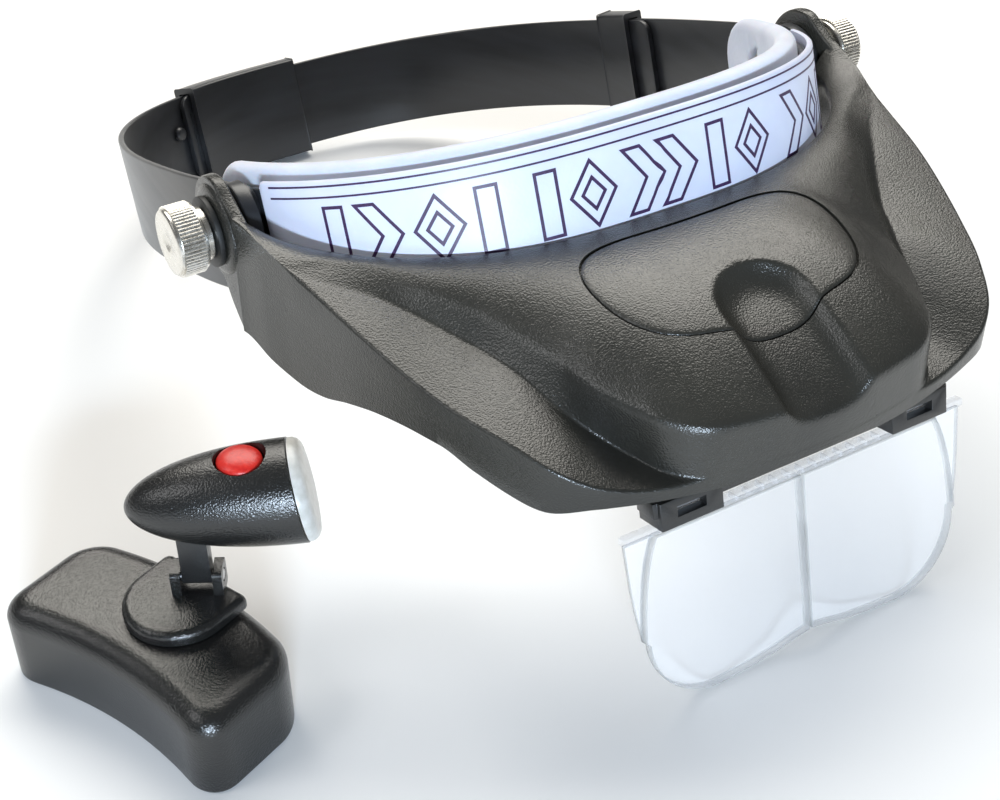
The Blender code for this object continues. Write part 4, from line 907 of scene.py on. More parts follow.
CREST_INSET = ((0, 1.2), (13, 1.3), (17, 6.0), (24, 11.9), (35, 17.7), (45, 22.6), (53, 24.2),
               (58, 22.8), (61, 18.6),
               (66, 10.8), (70, 4.6), (74, 0.9), (78, 0.2), (90, 0.2))
CREST_HEIGHT = ((0, 7.7), (13, 4.5), (20, 4.2), (36, 3.4), (50, 0.6), (60, -2.4), (70, -4.6),
                (90, -5.6))
FOOT_INSET = ((0, 0.6), (14, 0.65), (21, 5.2), (25, 8.4), (33, 13.2), (41, 17.2), (48, 19.4),
              (54, 19.2), (59, 17.4),
              (63, 14.2), (67, 9.2), (70, 4.2), (73.5, 0.6), (78, 0.1), (90, 0.1))
FOOT_RISE = ((0, 0.05), (14, 0.1), (30, 1.2), (48, 2.0), (60, 1.5), (72, 0.5), (90, 0.5))
CREST_ROUND, FOOT_ROUND, EDGE_ROUND, NARROW_ROOM, HUMP_DOME = 2.0, 0.8, 0.8, 4.5, 0.10
CHANNEL_HALF_WIDTH, CHANNEL_START, CHANNEL_DEPTH, SCOOP_LENGTH = 11.0, 88.0, 4.0, 10.5
SHELL_SHARP = 42.0
print("visor reaches", PLAN_CENTRE_FORWARD + WALL_REACH[-1][1],
      "mm and the pad in front of its pivot")

# %% [markdown]
# ## Visor surface
# The hump's top is a domed surface between brow and crest, with a thumb scoop that runs on as
# a channel to the front. A section at any station joins the five lines with rounded corners,
# and the inner wall is the same line moved in by the wall's thickness.
# %% Visor surface functions


def pad_reach(station, height):
    """Distance from the plan centre out to the pad's face, at a height above the pivot."""
    c, s = math.cos(math.radians(station)), math.sin(math.radians(station))
    pitch = math.radians(BAND_PITCH)
    near, far = 0.0, 2 * HEAD_HALF_WIDTH
    for _ in range(30):
        reach = (near + far) / 2
        forward = PLAN_CENTRE_FORWARD + reach * s
        ring_forward = PIVOT_FORWARD + forward * math.cos(pitch) + height * math.sin(pitch)
        share = (reach * c / (HEAD_HALF_WIDTH + vinyl_face)) ** FRONT_ROUNDNESS
        share += (max(ring_forward, 0.0) / (HEAD_FRONT + vinyl_face)) ** FRONT_ROUNDNESS
        near, far = (reach, far) if share < 1 else (near, reach)
    return near


RAIL_STATIONS = np.linspace(0.0, 90.0, 721)
brow_heights = smooth_value(BROW_HEIGHT, RAIL_STATIONS)
pad_reaches = np.array([pad_reach(station, height) for station,
                        height in zip(RAIL_STATIONS, brow_heights)])


def channel(x, forward):
    """Depth of the thumb scoop and of the channel that runs on from it."""
    across, behind = x / CHANNEL_HALF_WIDTH, max(CHANNEL_START - forward, 0.0) / SCOOP_LENGTH
    share = max(0.0, 1 - across * across - behind * behind)
    return CHANNEL_DEPTH * share * (2 - share)


def plain_rails(station):
    """The five lines at a station, before the channel is sunk into the crest."""
    pad = float(np.interp(station, RAIL_STATIONS, pad_reaches))
    wall = pad + float(smooth_value(WALL_REACH, station))
    edge = float(smooth_value(EDGE_HEIGHT, station))
    return ((pad + float(smooth_value(BROW_GAP, station)),
             float(smooth_value(BROW_HEIGHT, station))),
            (wall - float(smooth_value(CREST_INSET, station)),
             float(smooth_value(CREST_HEIGHT, station))),
            (wall - float(smooth_value(FOOT_INSET, station)),
             edge + float(smooth_value(FOOT_RISE, station))),
            (wall, edge), (wall, float(smooth_value(RIM_HEIGHT, station))))


RAILS = np.array([plain_rails(station) for station in RAIL_STATIONS])


def rails(station):
    return np.array([[np.interp(station, RAIL_STATIONS, RAILS[:, k, j]) for j in (0, 1)]
                     for k in range(5)])


def hump_height(x, forward):
    """Height of the hump's top surface over a point of the plan."""
    reach = math.hypot(x, forward - PLAN_CENTRE_FORWARD)
    station = math.degrees(math.atan2(forward - PLAN_CENTRE_FORWARD, abs(x)))
    (brow, brow_height), (crest, crest_height) = rails(station)[:2]
    share = (reach - brow) / (crest - brow)
    dome = HUMP_DOME * (crest - brow) * 4 * share * (1 - share)
    return brow_height + (crest_height - brow_height) * share + dome - channel(x, forward)


def arc_corner(corner, before, after, size, steps=6):
    """A corner of a section rounded by a smooth curve."""
    corner, before, after = Vector(corner), Vector(before), Vector(after)
    first = corner + (before - corner) * min(size / max((before - corner).length, 1e-6), 0.45)
    last = corner + (after - corner) * min(size / max((after - corner).length, 1e-6), 0.45)
    return [tuple(first * (1 - t) ** 2 + corner * 2 * t * (1 - t) + last * t * t)
            for t in np.linspace(0, 1, steps)]


def inset_line(points, distance):
    moved = []
    for k, point in enumerate(points):
        before = Vector(points[k]) - Vector(points[k - 1]) if k > 0 else None
        after = Vector(points[k + 1]) - Vector(points[k]) if k < len(points) - 1 else None
        normals = [Vector((d.y, -d.x)).normalized() for d in (before, after)
                   if d is not None and d.length > 1e-9]
        middle = sum(normals, Vector((0.0, 0.0))).normalized()
        moved.append(Vector(point) + middle * distance / max(middle.dot(normals[0]), 0.5))
    return moved


def shell_section(station, dome_steps=26):
    """Closed section of the shell wall at a station, as (reach, height) points."""
    brow, crest, foot, edge, rim = [tuple(row) for row in rails(station)]
    turn = math.radians(station)
    crest = (crest[0],
             crest[1] - channel(crest[0] * math.cos(turn),
                                PLAN_CENTRE_FORWARD + crest[0] * math.sin(turn)))
    top = []
    for k in range(1, dome_steps):
        reach = brow[0] + (crest[0] - brow[0]) * k / dome_steps
        top.append((reach,
                    hump_height(reach * math.cos(turn),
                                PLAN_CENTRE_FORWARD + reach * math.sin(turn))))
    near_crest = [point for point in top if crest[0] - point[0] > CREST_ROUND * 0.95]
    near_crest = near_crest if len(near_crest) > 4 else top[:4]
    spare = len(top) - len(near_crest)
    outside = [brow, *near_crest] + [near_crest[-1]] * spare
    outside += arc_corner(crest, near_crest[-1], foot, CREST_ROUND)
    outside += arc_corner(foot, crest, edge, FOOT_ROUND)
    outside += arc_corner(edge, foot, rim, EDGE_ROUND, 4)
    outside += [(edge[0], edge[1] + (rim[1] - edge[1]) * share) for share in (0.35, 0.7)]
    outside += [(rim[0], rim[1] + 0.5), (rim[0] - 0.5, rim[1])]
    inside = inset_line([brow, *top[1::4], crest, foot, edge, (edge[0], (edge[1] + rim[1]) / 2),
                         rim], SHELL_WALL)
    first, last = Vector((brow[0], inside[0].y)), Vector((inside[-1].x, rim[1]))
    room = last.x - first.x
    spread = min(max((room - NARROW_ROOM) / NARROW_ROOM, 0.0), 1.0)
    steps = len(inside) - 1
    for k, point in enumerate(inside):
        limited = Vector((min(point.x, last.x - min(0.25, room / steps) * (steps - k)), point.y))
        inside[k] = first.lerp(last, k / steps).lerp(limited, spread)
    inside[0], inside[-1] = first, last
    return outside + [tuple(point) for point in reversed(inside)]


def on_plan(station, side, reach):
    turn = math.radians(station)
    return side * reach * math.cos(turn), -(PLAN_CENTRE_FORWARD + reach * math.sin(turn))


print("section points:", len(shell_section(45.0)))

# %% [markdown]
# ## Visor shell
# The skin is a loft through sections 0.6 degrees apart. The ears are lofted plates with
# soft edges, joined on with the round bosses that the clamp washers press on. The cover's
# seat is then cut into the hump.
# %% Loft the visor shell
half_stations = list(np.linspace(0.0, 90.0, 151))
loops = [[(*on_plan(station, -1, reach), height) for reach, height in shell_section(station)]
         for station in half_stations]
loops += [[(-x, y, z) for x, y, z in loop] for loop in loops[-2::-1]]
visor = loft("visor_skin", loops, PIVOT, shell_black, SHELL_SHARP)
EAR_RADIUS, EAR_THICKNESS, EAR_SINK = 12.0, 3.0, 0.8
EAR_RUN = ((5.0, 9.8, -17.2), (9.5, 7.8, -21.4), (16.0, 5.0, -23.0), (22.0, 3.2, -24.2),
           (28.0, 1.4, -24.6))
SKIRT = [(-on_plan(s, 1, rails(s)[3][0])[1],
          on_plan(s, 1, rails(s)[3][0])[0]) for s in np.linspace(0, 30, 31)]


def skirt_half_width(y):
    return float(np.interp(-y, [place[0] for place in SKIRT], [place[1] for place in SKIRT]))


def ear_loops(side):
    """Upright sections of the ear from the back of its lobe forward into the skirt."""
    rows = [(EAR_RADIUS * math.cos(t), EAR_RADIUS * math.sin(t), -EAR_RADIUS * math.sin(t))
            for t in np.radians(np.linspace(8, 90, 20))]
    for forward in np.linspace(1.0, 28.0, 28):
        top = float(smooth_value([(0.0, EAR_RADIUS)] + [(f, t) for f, t, _ in EAR_RUN], forward))
        low = float(smooth_value([(0.0, -EAR_RADIUS)] + [(f, b) for f, _, b in EAR_RUN], forward))
        rows.append((-forward, top, low))
    loops = []
    for y, top, low in rows:
        sunk = EAR_SINK * max(-y - EAR_RUN[0][0], 0.0) / EAR_RUN[-1][0]
        outside = min(EAR_OUTSIDE, skirt_half_width(y) - sunk)
        inside = min(EAR_INSIDE, outside - EAR_THICKNESS / 2)
        section = rounded_box((inside, low), (outside, top),
                              min(0.7, (outside - inside) * 0.4, (top - low) * 0.3), 3)
        loops.append([(side * x, y, z) for x, z in section])
    return loops


for side in (-1, 1):
    cut_or_join(visor, loft("ear", ear_loops(side), PIVOT, shell_black), "UNION")
    swell = [(EAR_INSIDE + 1, 0.0), (EAR_INSIDE + 1, 10.4), (EAR_OUTSIDE - 0.2, 10.4),
             (EAR_OUTSIDE + 0.35, 10.1),
             (EAR_BOSS_FACE - 0.25, 9.3), (EAR_BOSS_FACE, 8.6), (EAR_BOSS_FACE, 0.0)]
    boss = lathe("ear_boss", [(side * x, r) for x, r in swell], PIVOT, shell_black, segments=96)
    cut_or_join(visor, boss, "UNION")
    cut_or_join(visor,
                on_axis("ear_bore", STUD_BORE, EAR_INSIDE - 5, EAR_BOSS_FACE + 5, side, shell_black,
                        48),
                "DIFFERENCE")
print("visor faces before the cover's seat:", len(visor.data.polygons))

# %% [markdown]
# ## Front cover
# The cover lies in a shallow seat over the hump and follows its curve, scoop included. The
# same outline, grown or shrunk, makes the seat, the opening under it and the cover itself,
# which leaves an even half-millimetre shadow gap.
# %% Front cover and its seat
COVER_OUTLINE = ((0, 59.5), (12, 59), (23.5, 58), (29.8, 62), (31, 71), (28.6, 83), (22, 89.5),
                 (14, 90), (8.5, 92.5),
                 (0, 93.5))
COVER_MIDDLE, COVER_THICKNESS, COVER_CLEARANCE, COVER_LEDGE = 78.0, 1.0, 0.5, 2.4
CUT_TOP, BAY_FLOOR = 6.0, -7.0


def cover_outline(moved):
    """The cover's plan outline, moved outwards, as (x, forward)."""
    half = []
    for (x0, f0), (x1, f1) in zip(COVER_OUTLINE, COVER_OUTLINE[1:]):
        half += [(x0 + (x1 - x0) * t, f0 + (f1 - f0) * t) for t in (0.0, 0.5)]
    half.append(COVER_OUTLINE[-1])
    loop = half + [(-x, forward) for x, forward in half[-2:0:-1]]
    for _ in range(2):
        loop = [tuple((a + 2 * b + c) / 4 for a, b,
                      c in zip(loop[k - 1], loop[k], loop[(k + 1) % len(loop)]))
                for k in range(len(loop))]
    for _ in range(2):  # corner cutting keeps the outline and smooths it
        loop = [p for k in range(len(loop)) for p in (
            tuple(0.75 * a + 0.25 * b for a, b in zip(loop[k], loop[(k + 1) % len(loop)])),
            tuple(0.25 * a + 0.75 * b for a, b in zip(loop[k], loop[(k + 1) % len(loop)])))]
    out = []
    for k, point in enumerate(loop):
        along = Vector(loop[(k + 1) % len(loop)]) - Vector(loop[k - 1])
        normal = Vector((along.y, -along.x)).normalized()
        if normal.dot(Vector(point) - Vector((0.0, COVER_MIDDLE))) < 0:
            normal = -normal
        out.append(tuple(Vector(point) + normal * moved))
    return out


def hump_plate(name, moved, top, bottom, finish, rings=20, soften=0.0):
    """A plate with the cover's outline whose faces follow the hump."""
    outline = cover_outline(moved)
    count, points, faces = len(outline), [], []
    shares = list(np.linspace(1 / rings, 0.97, rings - 3)) + [0.985, 0.994, 1.0]
    for level, sign in ((top, -1), (bottom, 1)):
        for share in shares:
            drop = soften * max(0.0, (share - 0.97) / 0.03) ** 2
            for x, forward in outline:
                px, pf = x * share, COVER_MIDDLE + (forward - COVER_MIDDLE) * share
                points.append((px, -pf, hump_height(px, pf) + level + sign * drop))
        points.append((0.0, -COVER_MIDDLE, hump_height(0.0, COVER_MIDDLE) + level))
    side = rings * count + 1
    for first in (0, side):
        for ring in range(rings - 1):
            a, b = first + ring * count, first + (ring + 1) * count
            faces += [(a + k, a + (k + 1) % count, b + (k + 1) % count,
                       b + k) for k in range(count)]
        faces += [(first + k, first + (k + 1) % count, first + side - 1) for k in range(count)]
    a, b = (rings - 1) * count, side + (rings - 1) * count
    faces += [(a + k, a + (k + 1) % count, b + (k + 1) % count, b + k) for k in range(count)]
    return made_piece(name, points, faces, PIVOT, finish, 50.0)


seat_floor = -COVER_THICKNESS - 2 * GAP
seat = hump_plate("cover_seat", COVER_CLEARANCE, CUT_TOP, seat_floor, shell_black)
cut_or_join(visor, seat, "DIFFERENCE")
bay = hump_plate("cover_bay", -COVER_LEDGE, CUT_TOP, BAY_FLOOR, shell_black, 8)
cut_or_join(visor, bay, "DIFFERENCE")
visor.data.set_sharp_from_angle(angle=math.radians(SHELL_SHARP))
settle(visor, "visor", "black_abs", "visor_shell")
cover = hump_plate("cover_plate", 0.0, 0.0, -COVER_THICKNESS, shell_black, 24, soften=0.3)
settle(cover, "cover", "black_abs", "front_cover")
print("visor faces:", len(visor.data.polygons), "cover faces:", len(cover.data.polygons))

# %% [markdown]
# ## Knurled thumb knobs
# Each knob is a turned disc with a straight knurl round its rim. The knurl is one small ridge
# repeated round a circle, so Geometry Nodes set it out from a count, a radius and a length.
# %% Knurled thumb knobs
KNOB_RADIUS, KNOB_THICKNESS, SHOULDER_RADIUS, SHOULDER_THICKNESS = 7.6, 7.0, 6.0, 1.6
KNOB_BORE_DEPTH = 4.0
KNURL_SIZES = {"Ridges": 60, "Radius": KNOB_RADIUS * MM, "Ridge length": 5.0 * MM,
               "Ridge width": 0.42 * MM}


def knurl_tree(side):
    """Ridges round the pivot axis, from a mesh circle and one instance on each of its points."""
    tree, source, real = repeat_tree("knurl", nickel, (
        ("Ridges", "NodeSocketInt"), ("Radius", "NodeSocketFloat"),
        ("Ridge length", "NodeSocketFloat"), ("Ridge width", "NodeSocketFloat")))
    circle = tree.nodes.new("GeometryNodeMeshCircle")
    ridge = tree.nodes.new("GeometryNodeMeshCylinder")
    ridge.inputs["Vertices"].default_value = 8
    spread = tree.nodes.new("GeometryNodeInstanceOnPoints")
    move = tree.nodes.new("GeometryNodeTransform")
    middle = side * (KNOB_BASE + SHOULDER_THICKNESS + KNOB_THICKNESS / 2) * MM
    whole = PIVOT @ Matrix.Translation((middle, 0, 0)) @ turned("Y", 90.0)
    move.inputs["Translation"].default_value = whole.translation
    move.inputs["Rotation"].default_value = whole.to_euler()
    join_nodes(tree, (
        (source.outputs["Ridges"], circle.inputs["Vertices"]),
        (source.outputs["Radius"], circle.inputs["Radius"]),
        (source.outputs["Ridge length"], ridge.inputs["Depth"]),
        (source.outputs["Ridge width"], ridge.inputs["Radius"]),
        (circle.outputs["Mesh"], spread.inputs["Points"]),
        (ridge.outputs["Mesh"], spread.inputs["Instance"]),
        (spread.outputs["Instances"], move.inputs["Geometry"]),
        (move.outputs["Geometry"], real.inputs["Geometry"])))
    return tree


def thumb_knob(side, label, body):
    shoulder = KNOB_BASE + SHOULDER_THICKNESS
    face = shoulder + KNOB_THICKNESS
    profile = [(KNOB_BASE, STUD_BORE), (KNOB_BASE, SHOULDER_RADIUS - 0.2),
               (KNOB_BASE + 0.2, SHOULDER_RADIUS),
               (shoulder, SHOULDER_RADIUS), (shoulder, KNOB_RADIUS - 0.7),
               (shoulder + 0.3, KNOB_RADIUS - 0.2),
               (shoulder + 0.7, KNOB_RADIUS - 0.12), (face - 0.9, KNOB_RADIUS - 0.12),
               (face - 0.45, KNOB_RADIUS - 0.16),
               (face - 0.12, KNOB_RADIUS - 0.45), (face, KNOB_RADIUS - 0.9), (face, 2.3),
               (face - 0.1, 2.1),
               (face - 0.55, 1.4), (face - 0.8, 0.6), (face - 0.82, 0.0)]
    knob = lathe(f"{label}_knob", [(side * x, r) for x, r in profile], PIVOT, nickel, segments=96,
                 sharp=35.0)
    skin = bmesh.new()
    skin.from_mesh(knob.data)
    rim = [edge for edge in skin.edges if edge.is_boundary]
    made = bmesh.ops.extrude_edge_only(skin, edges=rim)
    moved = [item for item in made["geom"] if isinstance(item, bmesh.types.BMVert)]
    inwards = PIVOT.to_3x3() @ Vector((side * KNOB_BORE_DEPTH * MM, 0, 0))
    bmesh.ops.translate(skin, verts=moved, vec=inwards)
    bmesh.ops.contextual_create(skin, geom=[e for e in skin.edges if e.is_boundary])
    bmesh.ops.recalc_face_normals(skin, faces=skin.faces)
    skin.to_mesh(knob.data)
    skin.free()
    ridges = bpy.data.objects.new(f"{label}_knurl", bpy.data.meshes.new(f"{label}_knurl"))
    bpy.context.scene.collection.objects.link(ridges)
    grown(ridges, knurl_tree(side), KNURL_SIZES, 40.0)
    settle(knob, body, "nickel", f"{label}_thumb_knob")
    settle(ridges, body, "nickel")
    return ridges


for side, label in ((-1, "left"), (1, "right")):
    ridges = thumb_knob(side, label, f"{label}_knob")
    softened(f"{label}_clamp_washer", 0.15, washer_black, f"{label}_washer", "black_washer")
print("ridge faces on a knob:", len(ridges.data.polygons))

# %% [markdown]
# ## Clear lens plate
# Each lens is a flat slab of acrylic with a small edge radius. At the outer top corner the
# optical part stops at an arc, and a thinner web fills the corner. A ribbed rail joins the two
# lenses under the clips.
# %% Lenses, corner webs and rail
LENS_HALF_WIDTH, LENS_HEIGHT, LENS_THICKNESS, RAIL_HEIGHT = 44.3, 43.2, 2.2, 2.0
RIB_SIZES = {"Pitch": 3.4 * MM, "Tooth size": (0.5 * MM, 2.5 * MM, 1.2 * MM)}
RIB_REACH, RIB_HEIGHT = 20.5, -1.15


def lens_outline(side):
    """Outer outline of one lens as (x, z), from the seam's top round its outer edge."""
    w, h, top = LENS_HALF_WIDTH, LENS_HEIGHT, -RAIL_HEIGHT - GAP
    points = [(0.15, top), (w * 0.3, top), (w * 0.6, top), (w - 0.4, top), (w - 0.6, -h * 0.15),
              (w - 0.9, -h * 0.30),
              (w - 1.4, -h * 0.43), (w - 2.2, -h * 0.55)]
    for angle in range(0, 91, 6):
        turn = math.radians(angle)
        points.append((w - 20.0 + 16.6 * math.cos(turn), -h * 0.62 - h * 0.38 * math.sin(turn)))
    points += [(w * 0.38, -h * 0.99), (w * 0.22, -h * 0.975), (w * 0.10, -h * 0.95),
               (0.15, -h * 0.935)]
    return [(side * x, z) for x, z in points]


def web_arc(side, steps=14):
    """The arc inside the outer top corner where the optical face stops, from the top edge down."""
    w, h, top = LENS_HALF_WIDTH, LENS_HEIGHT, -RAIL_HEIGHT - GAP
    start, bend = Vector((w - 7.5, top)), Vector((w - 3.6, -h * 0.22))
    end = Vector((w - 2.6, -h * 0.60))
    return [(side * p.x, p.y) for p in (start * (1 - t) ** 2 + bend * 2 * t * (1 - t) + end * t * t
                                        for t in np.linspace(0, 1, steps))]


def slab(name, outline, near, far, edge=0.35):
    """A flat piece of acrylic whose cut edges get the darker, denser finish of painted shade."""
    piece = loft(name, [[(x, y, z) for x, z in outline] for y in (near, far)], LENS, acrylic)
    bevelled(piece, edge, 2, 50.0)
    # the cut edges take the darker edge finish, painted shade for the dark lines of refraction
    piece.data.materials.append(acrylic_edge_painted_shade)
    across = (LENS.to_3x3() @ Vector((0, 1, 0))).normalized()
    for face in piece.data.polygons:
        face.material_index = 0 if abs(face.normal.dot(across)) > 0.95 else 1
    return piece


half = LENS_THICKNESS / 2
for side, label in ((-1, "left"), (1, "right")):
    outline, arc = lens_outline(side), web_arc(side)
    optical = outline[:3] + arc + [p for p in outline if p[1] < arc[-1][1] - 0.6]
    lens = slab(f"{label}_lens_body", optical, -half, half)
    settle(lens, "lens_plate", "clear_acrylic", f"{label}_lens")
    corner = [p for p in outline[3:] if p[1] > arc[-1][1] + 0.6]
    gap_arc = [(x + side * 0.12, z) for x, z in arc]
    web = slab(f"{label}_lens_web", [gap_arc[0], *corner, gap_arc[-1], *gap_arc[-2:0:-1]],
               -half + 0.9, half - 0.3, 0.15)
    settle(web, "lens_plate", "clear_acrylic")
softened("lens_rail", 0.2, acrylic, "lens_plate", "clear_acrylic")
rib_tree = along_path_tree("ribs on the rail", acrylic)
rib_line = [(x, 0.0, RIB_HEIGHT) for x in np.linspace(-RIB_REACH, RIB_REACH, 30)]
ribs = repeated_along("rail_ribs", rib_line, rib_tree, RIB_SIZES, LENS)
settle(ribs, "lens_plate", "clear_acrylic")
print("ribs on the rail:", len(ribs.data.polygons) // 6)

# %% [markdown]
# ## Clips and hidden hardware
# The clip bar, the friction washers, screws and nuts keep the shape of the solid model. Their
# copies get merged faces and a small edge radius, because no real edge is perfectly sharp.
# %% Clips and hardware
softened("lens_carrier", 0.25, clip_black, "visor", "black_abs")
for label in ("left", "right"):
    softened(f"{label}_carrier_screw", 0.12, steel, "visor", "steel")
    softened(f"{label}_friction_washer", 0.12, washer_black, "headband", "black_washer")
    softened(f"{label}_pivot_nut", 0.2, steel, "headband", "steel")
    softened(f"{label}_clamp_stud", 0.15, steel, f"{label}_knob", "steel")

# %% [markdown]
# ## Lamp base
# The battery base is a bean-shaped box, bent to sit on the visor's brow, with a generous
# radius round its top. Sections shrink along a quarter circle towards the top, and a hollow is
# cut from below for the cells.
# %% Lamp base
BASE_LENGTH, BASE_WIDTH, BASE_HEIGHT, BASE_WALL = 62.0, 28.5, 20.5, 2.0
BASE_BEND, BASE_CORNER, BASE_TOP_ROUND = 95.0, 8.0, 5.0


def base_outline(inset, steps=12):
    half_length, half_width = BASE_LENGTH / 2 - inset, BASE_WIDTH / 2 - inset
    corner = max(BASE_CORNER - inset, 0.8)
    loop = []
    for sx, sy, start in ((1, 1, 0), (-1, 1, 90), (-1, -1, 180), (1, -1, 270)):
        for k in range(steps + 1):
            turn = math.radians(start + 90 * k / steps)
            loop.append((sx * (half_length - corner) + corner * math.cos(turn),
                         sy * (half_width - corner) + corner * math.sin(turn)))
        if sx == sy:
            run = half_length - corner
            loop += [(sx * run * share, sy * half_width) for share in np.linspace(0.85, -0.85, 16)]
    return [(x, y - x * x / (2 * BASE_BEND)) for x, y in loop]


levels = [(0.6, 0.0), (0.25, 0.2), (0.05, 0.5), (0.0, 0.9), (0.0, 5.0), (0.0, 10.0)]
levels += [(BASE_TOP_ROUND * (1 - math.cos(t)), BASE_HEIGHT - BASE_TOP_ROUND * (1 - math.sin(t)))
           for t in np.radians(np.linspace(0, 90, 13))]
lamp_base = loft("battery_base", [[(x, y, z) for x, y in base_outline(inset)]
                                  for inset, z in levels], LAMP, lamp_black)
cavity = loft("cavity", [[(x, y, z) for x, y in base_outline(BASE_WALL)]
                         for z in (-2.0, BASE_HEIGHT - BASE_TOP_ROUND)], LAMP, lamp_black)
cut_or_join(lamp_base, cavity, "DIFFERENCE")
lamp_base.data.set_sharp_from_angle(angle=math.radians(40))
settle(lamp_base, "lamp_base", "black_abs", "lamp_base")
softened("battery_door", 0.2, lamp_black, "battery_door", "black_abs")
print("base faces:", len(lamp_base.data.polygons))

# %% [markdown]
# ## Pedestal, clevis and stem
# A D-shaped pad stands on the base. Two cheeks on it hold the stem on a pin. The pad's top
# edge is rounded in steps, so the light catches it all the way round.
# %% Pedestal and stem
PEDESTAL_RADIUS, PEDESTAL_HEIGHT, PEDESTAL_ALONG, PEDESTAL_OFFSET = 11.5, 3.0, 2.5, 4.0
PEDESTAL_EDGE = 1.6
STEM_WIDTH, STEM_THICKNESS, PIN_RADIUS, CLEVIS_CHEEK = 6.0, 3.6, 1.2, 2.0
pedestal_floor = BASE_HEIGHT + GAP


def pedestal_outline(inset):
    far, size, along = BASE_WIDTH / 2 - 1.5 - inset, PEDESTAL_RADIUS - inset, PEDESTAL_ALONG
    points = [(along + size, far - 1.2), (along + size - 0.4, far - 0.35),
              (along + size - 1.2, far),
              (along, far), (along - size + 1.2, far), (along - size + 0.4, far - 0.35),
              (along - size, far - 1.2)]
    for angle in range(180, 361, 5):
        turn = math.radians(angle)
        points.append((along + size * math.cos(turn), PEDESTAL_OFFSET + size * math.sin(turn)))
    return points


steps = [(0.0, pedestal_floor), (0.0, pedestal_floor + PEDESTAL_HEIGHT - PEDESTAL_EDGE)]
steps += [(PEDESTAL_EDGE * (1 - math.cos(t)),
           pedestal_floor + PEDESTAL_HEIGHT - PEDESTAL_EDGE * (1 - math.sin(t)))
          for t in np.radians(np.linspace(10, 90, 9))]
pedestal = loft("lamp_pad", [[(x, y, z) for x, y in pedestal_outline(inset)] for inset, z in steps],
                LAMP, lamp_black)
cheek_near = STEM_WIDTH / 2 + GAP
for side in (-1, 1):
    low, high = sorted((side * cheek_near, side * (cheek_near + CLEVIS_CHEEK)))
    lengthwise = STEM_THICKNESS / 2 + 1.2
    outline = rounded_box((-lengthwise, -4.0), (lengthwise, 2.5), 0.9, 5)
    cheek = loft("cheek", [[(x, y, z) for y, z in outline] for x in (low, high)], CLEVIS,
                 lamp_black)
    cut_or_join(pedestal, cheek, "UNION")
reach = cheek_near + CLEVIS_CHEEK
pin_bore = lathe("pin_bore", ((-reach - 2, 0.0), (-reach - 2, PIN_RADIUS + GAP),
                              (reach + 2, PIN_RADIUS + GAP), (reach + 2, 0.0)),
                 CLEVIS, lamp_black, segments=32)
cut_or_join(pedestal, pin_bore, "DIFFERENCE")
pedestal.data.set_sharp_from_angle(angle=math.radians(40))
settle(pedestal, "lamp_base", "black_abs", "lamp_pedestal")
softened("lamp_stem", 0.3, clip_black, "lamp_stem", "black_abs")
softened("clevis_pin", 0.15, steel, "lamp_base", "steel")
print("pedestal faces:", len(pedestal.data.polygons))

# %% [markdown]
# ## Lamp head
# The head is a bullet turned from one profile curve, hollow at the front, with a slanted
# mouth. A recess is sunk for the button and a socket for the stem.
# %% Lamp head
LAMP_LENGTH, LAMP_RADIUS, LAMP_WALL, LAMP_NOSE = 36.0, 10.8, 1.6, 5.0
STEM_STATION, SOCKET_RADIUS, SOCKET_DEPTH, FACE_LEAN = 12.2, 3.9, 4.4, math.radians(9.0)
BUTTON_STATION, BUTTON_RADIUS, BUTTON_DEPTH, BUTTON_DOME = 23.6, 4.6, 3.4, 1.6
head_start = -STEM_STATION
face_x = head_start + LAMP_LENGTH - LAMP_RADIUS * math.tan(FACE_LEAN)


def bullet_radius(station, wall=0.0):
    length, size = LAMP_LENGTH - wall, LAMP_RADIUS - wall
    share = min(max((station - wall) / length, 0.0), 1.0)
    return size * (1 - (1 - share) ** 2.3) ** 0.52


outer = [(head_start + LAMP_LENGTH * s, bullet_radius(LAMP_LENGTH * s))
         for s in np.linspace(0, 1, 49) ** 1.9]
inner = [(head_start + LAMP_NOSE + (LAMP_LENGTH - LAMP_NOSE) * s,
          bullet_radius(LAMP_NOSE + (LAMP_LENGTH - LAMP_NOSE) * s, LAMP_WALL))
         for s in (1.0, 0.7, 0.4, 0.2, 0.08, 0.0)]
lamp_head = lathe("lamp_bullet", [*outer, *inner, (head_start + LAMP_NOSE, 0.0)], HEAD, lamp_black,
                  segments=128)
slope, far = math.tan(FACE_LEAN), LAMP_RADIUS * 2
mouth = loft("mouth",
             [[(face_x + slope * far, y, -far), (face_x + 30.0, y, -far), (face_x + 30.0, y, far),
                        (face_x - slope * far, y, far)] for y in (-far, far)], HEAD, lamp_black)
cut_or_join(lamp_head, mouth, "DIFFERENCE")
button_x = head_start + BUTTON_STATION
button_top = bullet_radius(BUTTON_STATION)
recess_radius, recess_floor = BUTTON_RADIUS + GAP, LAMP_RADIUS / 2
recess = lathe("recess",
               ((0.0, 0.0), (0.0, recess_radius), (button_top - recess_floor - 1.3, recess_radius),
                          (button_top - recess_floor - 0.4, recess_radius + 0.45),
                          (30.0, recess_radius + 1.5), (30.0, 0.0)), HEAD, lamp_black, axis="Z",
               segments=96, centre=(button_x, 0.0, recess_floor))
cut_or_join(lamp_head, recess, "DIFFERENCE")
socket_top = -LAMP_RADIUS + SOCKET_DEPTH
socket = lathe("socket", ((-30.0, 0.0), (-30.0, SOCKET_RADIUS), (socket_top, SOCKET_RADIUS),
                          (socket_top, 0.0)), HEAD, lamp_black, axis="Z", segments=48)
cut_or_join(lamp_head, socket, "DIFFERENCE")
lamp_head.data.set_sharp_from_angle(angle=math.radians(38))
settle(lamp_head, "lamp_head", "black_abs", "lamp_head")
print("head faces:", len(lamp_head.data.polygons))

